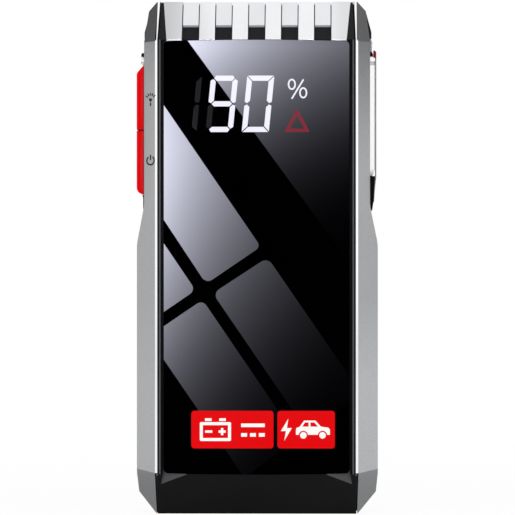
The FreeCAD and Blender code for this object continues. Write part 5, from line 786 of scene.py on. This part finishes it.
def contact_row(name, count, first, pitch, size):
    """Contacts in a row up a port's tongue, made plain mesh."""
    made = bpy.data.objects.new(name, bpy.data.meshes.new(name + "_empty"))
    bpy.context.scene.collection.objects.link(made)
    rows = made.modifiers.new("contact_row", "NODES")
    rows.node_group = contact_tree
    rows[contact_sockets["Count"]] = count
    rows[contact_sockets["First"]] = [v * MM for v in first]
    rows[contact_sockets["Pitch"]] = (0.0, 0.0, pitch * MM)
    rows[contact_sockets["Size"]] = [v * MM for v in size]
    graph = bpy.context.evaluated_depsgraph_get()
    laid_out = bpy.data.meshes.new_from_object(made.evaluated_get(graph))
    laid_out.name = name
    made.modifiers.remove(rows)
    made.data = laid_out
    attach(made, "case")


contact_row("wide_port_contacts", *WIDE_PORT_CONTACTS)
contact_row("small_port_contacts", *SMALL_PORT_CONTACTS)

# Camera.
turn = math.radians(CAMERA_TURN)
camera_x = AIM_X + CAMERA_DISTANCE * math.sin(turn)
camera_ahead = CAMERA_DISTANCE * math.cos(turn)
camera_data = bpy.data.cameras.new("camera")
camera_data.lens = CAMERA_LENS
camera_data.clip_end = CAMERA_FAR
camera = bpy.data.objects.new("camera", camera_data)
camera.location = Vector((camera_x, GLASS_Y - camera_ahead, AIM_Z)) * MM
camera.rotation_euler = (math.radians(90), 0, turn)
bpy.context.scene.collection.objects.link(camera)
bpy.context.scene.camera = camera

# World: pure white to the camera and in mirrors, a little less as light.
ROOM_LIGHT = 0.75
world = bpy.data.worlds.new("studio")
bpy.context.scene.world = world
world.use_nodes = True
tree = world.node_tree
tree.nodes.clear()
path = add(tree, "ShaderNodeLightPath")
seen = add(tree, "ShaderNodeMath", {0: path.outputs["Is Camera Ray"], 1: path.outputs["Is Glossy Ray"]},
           operation="MAXIMUM")
seen = add(tree, "ShaderNodeMath", {0: seen.outputs["Value"], 1: path.outputs["Is Transmission Ray"]},
           operation="MAXIMUM")
level = add(tree, "ShaderNodeMapRange", {"Value": seen.outputs["Value"], "To Min": ROOM_LIGHT, "To Max": 1.0})
background = add(tree, "ShaderNodeBackground", {"Color": colour(WHITE), "Strength": level.outputs["Result"]})
add(tree, "ShaderNodeOutputWorld", {"Surface": background.outputs["Background"]})

# Lamps, placed and sized in metres, and aimed at the pack's middle.
LAMP_AIM = (0, 0, 0.09)


def lamp(name, place, size, watts):
    """A round soft light."""
    data = bpy.data.lights.new(name, "AREA")
    data.shape = "DISK"
    data.size = size
    data.energy = watts
    made = bpy.data.objects.new(name, data)
    made.location = place
    made.rotation_mode = "QUATERNION"
    made.rotation_quaternion = (Vector(LAMP_AIM) - Vector(place)).to_track_quat("-Z", "Y")
    bpy.context.scene.collection.objects.link(made)


lamp("key_light", place=(-0.9, -1.2, 1.1), size=0.9, watts=9.0)
lamp("fill_light", place=(1.1, -0.9, 0.7), size=0.9, watts=5.0)


def staged_plane(name, corners, material):
    """A flat sheet of the studio, through corners in metres."""
    data = bpy.data.meshes.new(name)
    data.from_pydata(corners, [], [tuple(range(len(corners)))])
    data.materials.append(material)
    made = bpy.data.objects.new(name, data)
    bpy.context.scene.collection.objects.link(made)
    return made


# Floor, in metres: near the pack it shows the faint shadow, and further out it fades into the white
# background.
FLOOR_HALF = 4.0
FLOOR_NEAR_SHARE = 0.93
FLOOR_FADE = (0.15, 0.6)
FLOOR_MIRRORED_SHARE = 0.35
floor_paint, tree, out = blank("pale_studio_floor")
path = add(tree, "ShaderNodeLightPath")
matte = add(tree, "ShaderNodeBsdfDiffuse", {"Color": colour("#F4F4F4")})
white = add(tree, "ShaderNodeEmission", {"Color": colour(WHITE), "Strength": 1.0})
place = add(tree, "ShaderNodeTexCoord")
far = add(tree, "ShaderNodeVectorMath", {0: place.outputs["Object"]}, operation="LENGTH")
far = add(tree, "ShaderNodeMapRange", {
    "Value": far.outputs["Value"], "From Min": FLOOR_FADE[0], "From Max": FLOOR_FADE[1],
    "To Min": FLOOR_NEAR_SHARE})
share = add(tree, "ShaderNodeMath", {0: path.outputs["Is Camera Ray"], 1: far.outputs["Result"]},
            operation="MULTIPLY")
mirrored = add(tree, "ShaderNodeMath", {0: path.outputs["Is Glossy Ray"], 1: FLOOR_MIRRORED_SHARE},
               operation="MULTIPLY")
share = add(tree, "ShaderNodeMath", {0: share.outputs[0], 1: mirrored.outputs[0]}, operation="MAXIMUM")
both = add(tree, "ShaderNodeMixShader", {
    0: share.outputs["Value"], 1: matte.outputs["BSDF"], 2: white.outputs["Emission"]})
tree.links.new(both.outputs["Shader"], out.inputs["Surface"])
floor_corners = [(x, y, 0) for x, y in box_ring(-FLOOR_HALF, -FLOOR_HALF, FLOOR_HALF, FLOOR_HALF)]
staged_plane("floor", floor_corners, floor_paint)

# What the black glass mirrors: a dark wall with window panes a little in front of it, seen by glossy rays only.
# WALL_RING is the part of the glass plane that the wall fills, and GLASS_SHARE is the part of the light that the
# glass mirrors straight on.
WALL_DISTANCE = 270.0
WALL_RING = (-400.0, 14.6, 400.0, 520.0)
PANE_AHEAD = 2.0
GLASS_SHARE = 0.02
WALL_SCALE = 1 + WALL_DISTANCE / camera_ahead
DAYLIGHT = "#EBECFF"


def on_wall(point, ahead=0.0):
    """Where the camera, mirrored in the glass, meets the wall for a point of the glass."""
    scale = 1 + (WALL_DISTANCE - ahead) / camera_ahead
    x = camera_x + (point[0] - camera_x) * scale
    z = AIM_Z + (point[1] - AIM_Z) * scale
    return (x * MM, (GLASS_Y - WALL_DISTANCE + ahead) * MM, z * MM)


def only_in_gloss(made):
    """Leaves the sheet visible in mirrors alone."""
    made.visible_camera = made.visible_diffuse = made.visible_shadow = made.visible_transmission = False
    made.visible_volume_scatter = False


def shed_light(tree, out, code, strength):
    """Ends a material with light of its own."""
    light = add(tree, "ShaderNodeEmission", {"Color": colour(code), "Strength": strength})
    tree.links.new(light.outputs["Emission"], out.inputs["Surface"])


def wall_light(name, level, start_x, from_z, across, down, both_ways, bend):
    """Light that fades to the right of start_x and below from_z, as daylight does across a window. The fading is
    written for the glass, for each millimetre across, down, across times down, and down squared."""
    made, tree, out = blank(name)
    at = spot(tree)
    on_glass = []
    for socket, centre in (("X", camera_x), ("Z", AIM_Z)):
        near = add(tree, "ShaderNodeMath", {0: at[socket], 1: centre * MM}, operation="SUBTRACT")
        part = add(tree, "ShaderNodeMath", {0: near.outputs["Value"], 1: 1 / (WALL_SCALE * MM), 2: centre},
                   operation="MULTIPLY_ADD")
        on_glass.append(part.outputs["Value"])
    right = add(tree, "ShaderNodeMath", {0: on_glass[0], 1: start_x}, operation="SUBTRACT")
    under = add(tree, "ShaderNodeMath", {0: from_z, 1: on_glass[1]}, operation="SUBTRACT")
    under = add(tree, "ShaderNodeMath", {0: under.outputs["Value"], 1: 0.0}, operation="MAXIMUM").outputs["Value"]
    sideways = add(tree, "ShaderNodeMath", {0: under, 1: -both_ways, 2: -across}, operation="MULTIPLY_ADD")
    downwards = add(tree, "ShaderNodeMath", {0: under, 1: -bend, 2: -down}, operation="MULTIPLY_ADD")
    total = add(tree, "ShaderNodeMath", {0: right.outputs["Value"], 1: sideways.outputs["Value"]},
                operation="MULTIPLY")
    total = add(tree, "ShaderNodeMath", {0: under, 1: downwards.outputs["Value"], 2: total.outputs["Value"]},
                operation="MULTIPLY_ADD")
    fade = add(tree, "ShaderNodeMath", {0: total.outputs["Value"]}, operation="EXPONENT")
    strength = add(tree, "ShaderNodeMath", {0: fade.outputs["Value"], 1: level / GLASS_SHARE},
                   operation="MULTIPLY")
    shed_light(tree, out, DAYLIGHT, strength.outputs["Value"])
    return made


def even_light(name, strength):
    """Paint that glows evenly, to be seen in mirrors only."""
    made, tree, out = blank(name)
    shed_light(tree, out, WHITE, strength)
    return made


wall_corners = [on_wall(p) for p in box_ring(*WALL_RING)]
only_in_gloss(staged_plane("mirrored_wall", wall_corners, even_light("dark_wall", 0.0)))

# Flags beside the shoulders, which the facets of the corners mirror, as a studio sets them to draw edges: the
# middle of the right one, the way it runs, half its width and its upper end. The left one mirrors it.
FLAG_PLACE = (145.0, 82.0)
FLAG_RUN = (0.61, -0.71)
FLAG_HALF_WIDTH = 78.0
FLAG_TOP_Z = 290.0


def flag_light(name, dark_z, bright_z, darkest):
    """Paint of a flag that is dark at its upper end and fades to the white of the room lower down."""
    made, tree, out = blank(name)
    level = add(tree, "ShaderNodeMapRange", {
        "Value": spot(tree)["Z"], "From Min": dark_z * MM, "From Max": bright_z * MM, "To Min": darkest})
    shed_light(tree, out, WHITE, level.outputs["Result"])
    return made


def standing_flag(name, side, low_z, paint):
    """A flag beside the pack, on its side -1 or 1, square to the way in which the side slope mirrors."""
    middle = Vector((side * FLAG_PLACE[0], FLAG_PLACE[1], 0.0))
    along = Vector((side * FLAG_RUN[0], FLAG_RUN[1], 0.0)).normalized() * FLAG_HALF_WIDTH
    ends = [middle - along, middle + along]
    heights = (low_z, low_z, FLAG_TOP_Z, FLAG_TOP_Z)
    corners = [(e.x * MM, e.y * MM, z * MM) for e, z in zip((*ends, *reversed(ends)), heights)]
    only_in_gloss(staged_plane(name, corners, paint))


left_paint = flag_light("left_flag_paint", dark_z=208.0, bright_z=165.0, darkest=0.0)
standing_flag("left_shoulder_flag", side=-1, low_z=160.0, paint=left_paint)
right_paint = flag_light("right_flag_paint", dark_z=192.0, bright_z=138.0, darkest=0.105)
standing_flag("right_shoulder_flag", side=1, low_z=105.0, paint=right_paint)

# Grey mats beside the foot, which the low facets mirror: painted shade, standing for the floor's shade beside the
# pack.
MAT_X = (38.0, 110.0)
MAT_Y = (-20.0, 60.0)
MAT_Z = 0.2
MAT_SHADE_LEVEL = 0.3
floor_shade_paint = even_light("painted_floor_shade", MAT_SHADE_LEVEL)
for name, side in (("left_foot_shade_sheet", -1), ("right_foot_shade_sheet", 1)):
    ring = box_ring(MAT_X[0], MAT_Y[0], MAT_X[1], MAT_Y[1])
    only_in_gloss(staged_plane(name, [(side * x * MM, y * MM, MAT_Z * MM) for x, y in ring], floor_shade_paint))

pane_light = wall_light("window_daylight", level=0.908, start_x=-34.0, from_z=134.0, across=0.0383,
                        down=0.00328, both_ways=0.000348, bend=0.000222)
sash_light = wall_light("upper_sash_daylight", level=0.897, start_x=-20.8, from_z=171.0, across=0.0312,
                        down=0.0311, both_ways=0.000389, bend=0.000437)

# Window panes, by the picture points of the glass where they are mirrored, with the rounding of each corner in
# millimetres.
SHARP = 0.05
panes = {
    "pane_upper_right": ([(163, 104.1), (260.7, 246.7), (206.1, 283.8), (163, 218.6)], (SHARP, 2.0, 2.6, SHARP),
                         pane_light),
    "pane_upper_left": ([(163, 242.4), (195.5, 290.2), (163, 312.4)], (SHARP, 2.4, SHARP), pane_light),
    "pane_lower_left": ([(163, 326.8), (202.5, 299.9), (297.2, 438.5), (244.4, 477.8), (163, 358.5)],
                        (SHARP, 2.4, SHARP, SHARP, SHARP), pane_light),
    "pane_lower_right": ([(212.9, 293.3), (267.5, 257.5), (350.5, 377.6), (350.5, 401.5), (308.8, 434.1)],
                         (2.6, 2.8, SHARP, SHARP, SHARP), pane_light),
    "upper_sash": ([(180, 30), (350.5, 30), (350.5, 265)], (SHARP, SHARP, SHARP), sash_light),
}
for name, (points, radii, light) in panes.items():
    on_glass = [(AIM_X + (x - PICTURE_MIDDLE) / PICTURE_SCALE, AIM_Z + (PICTURE_MIDDLE - y) / PICTURE_SCALE)
                for x, y in points]
    only_in_gloss(staged_plane(name, [on_wall(p, PANE_AHEAD) for p in rounded(on_glass, radii)], light))

bpy.context.scene.view_settings.view_transform = "Standard"

bpy.context.view_layer.update()
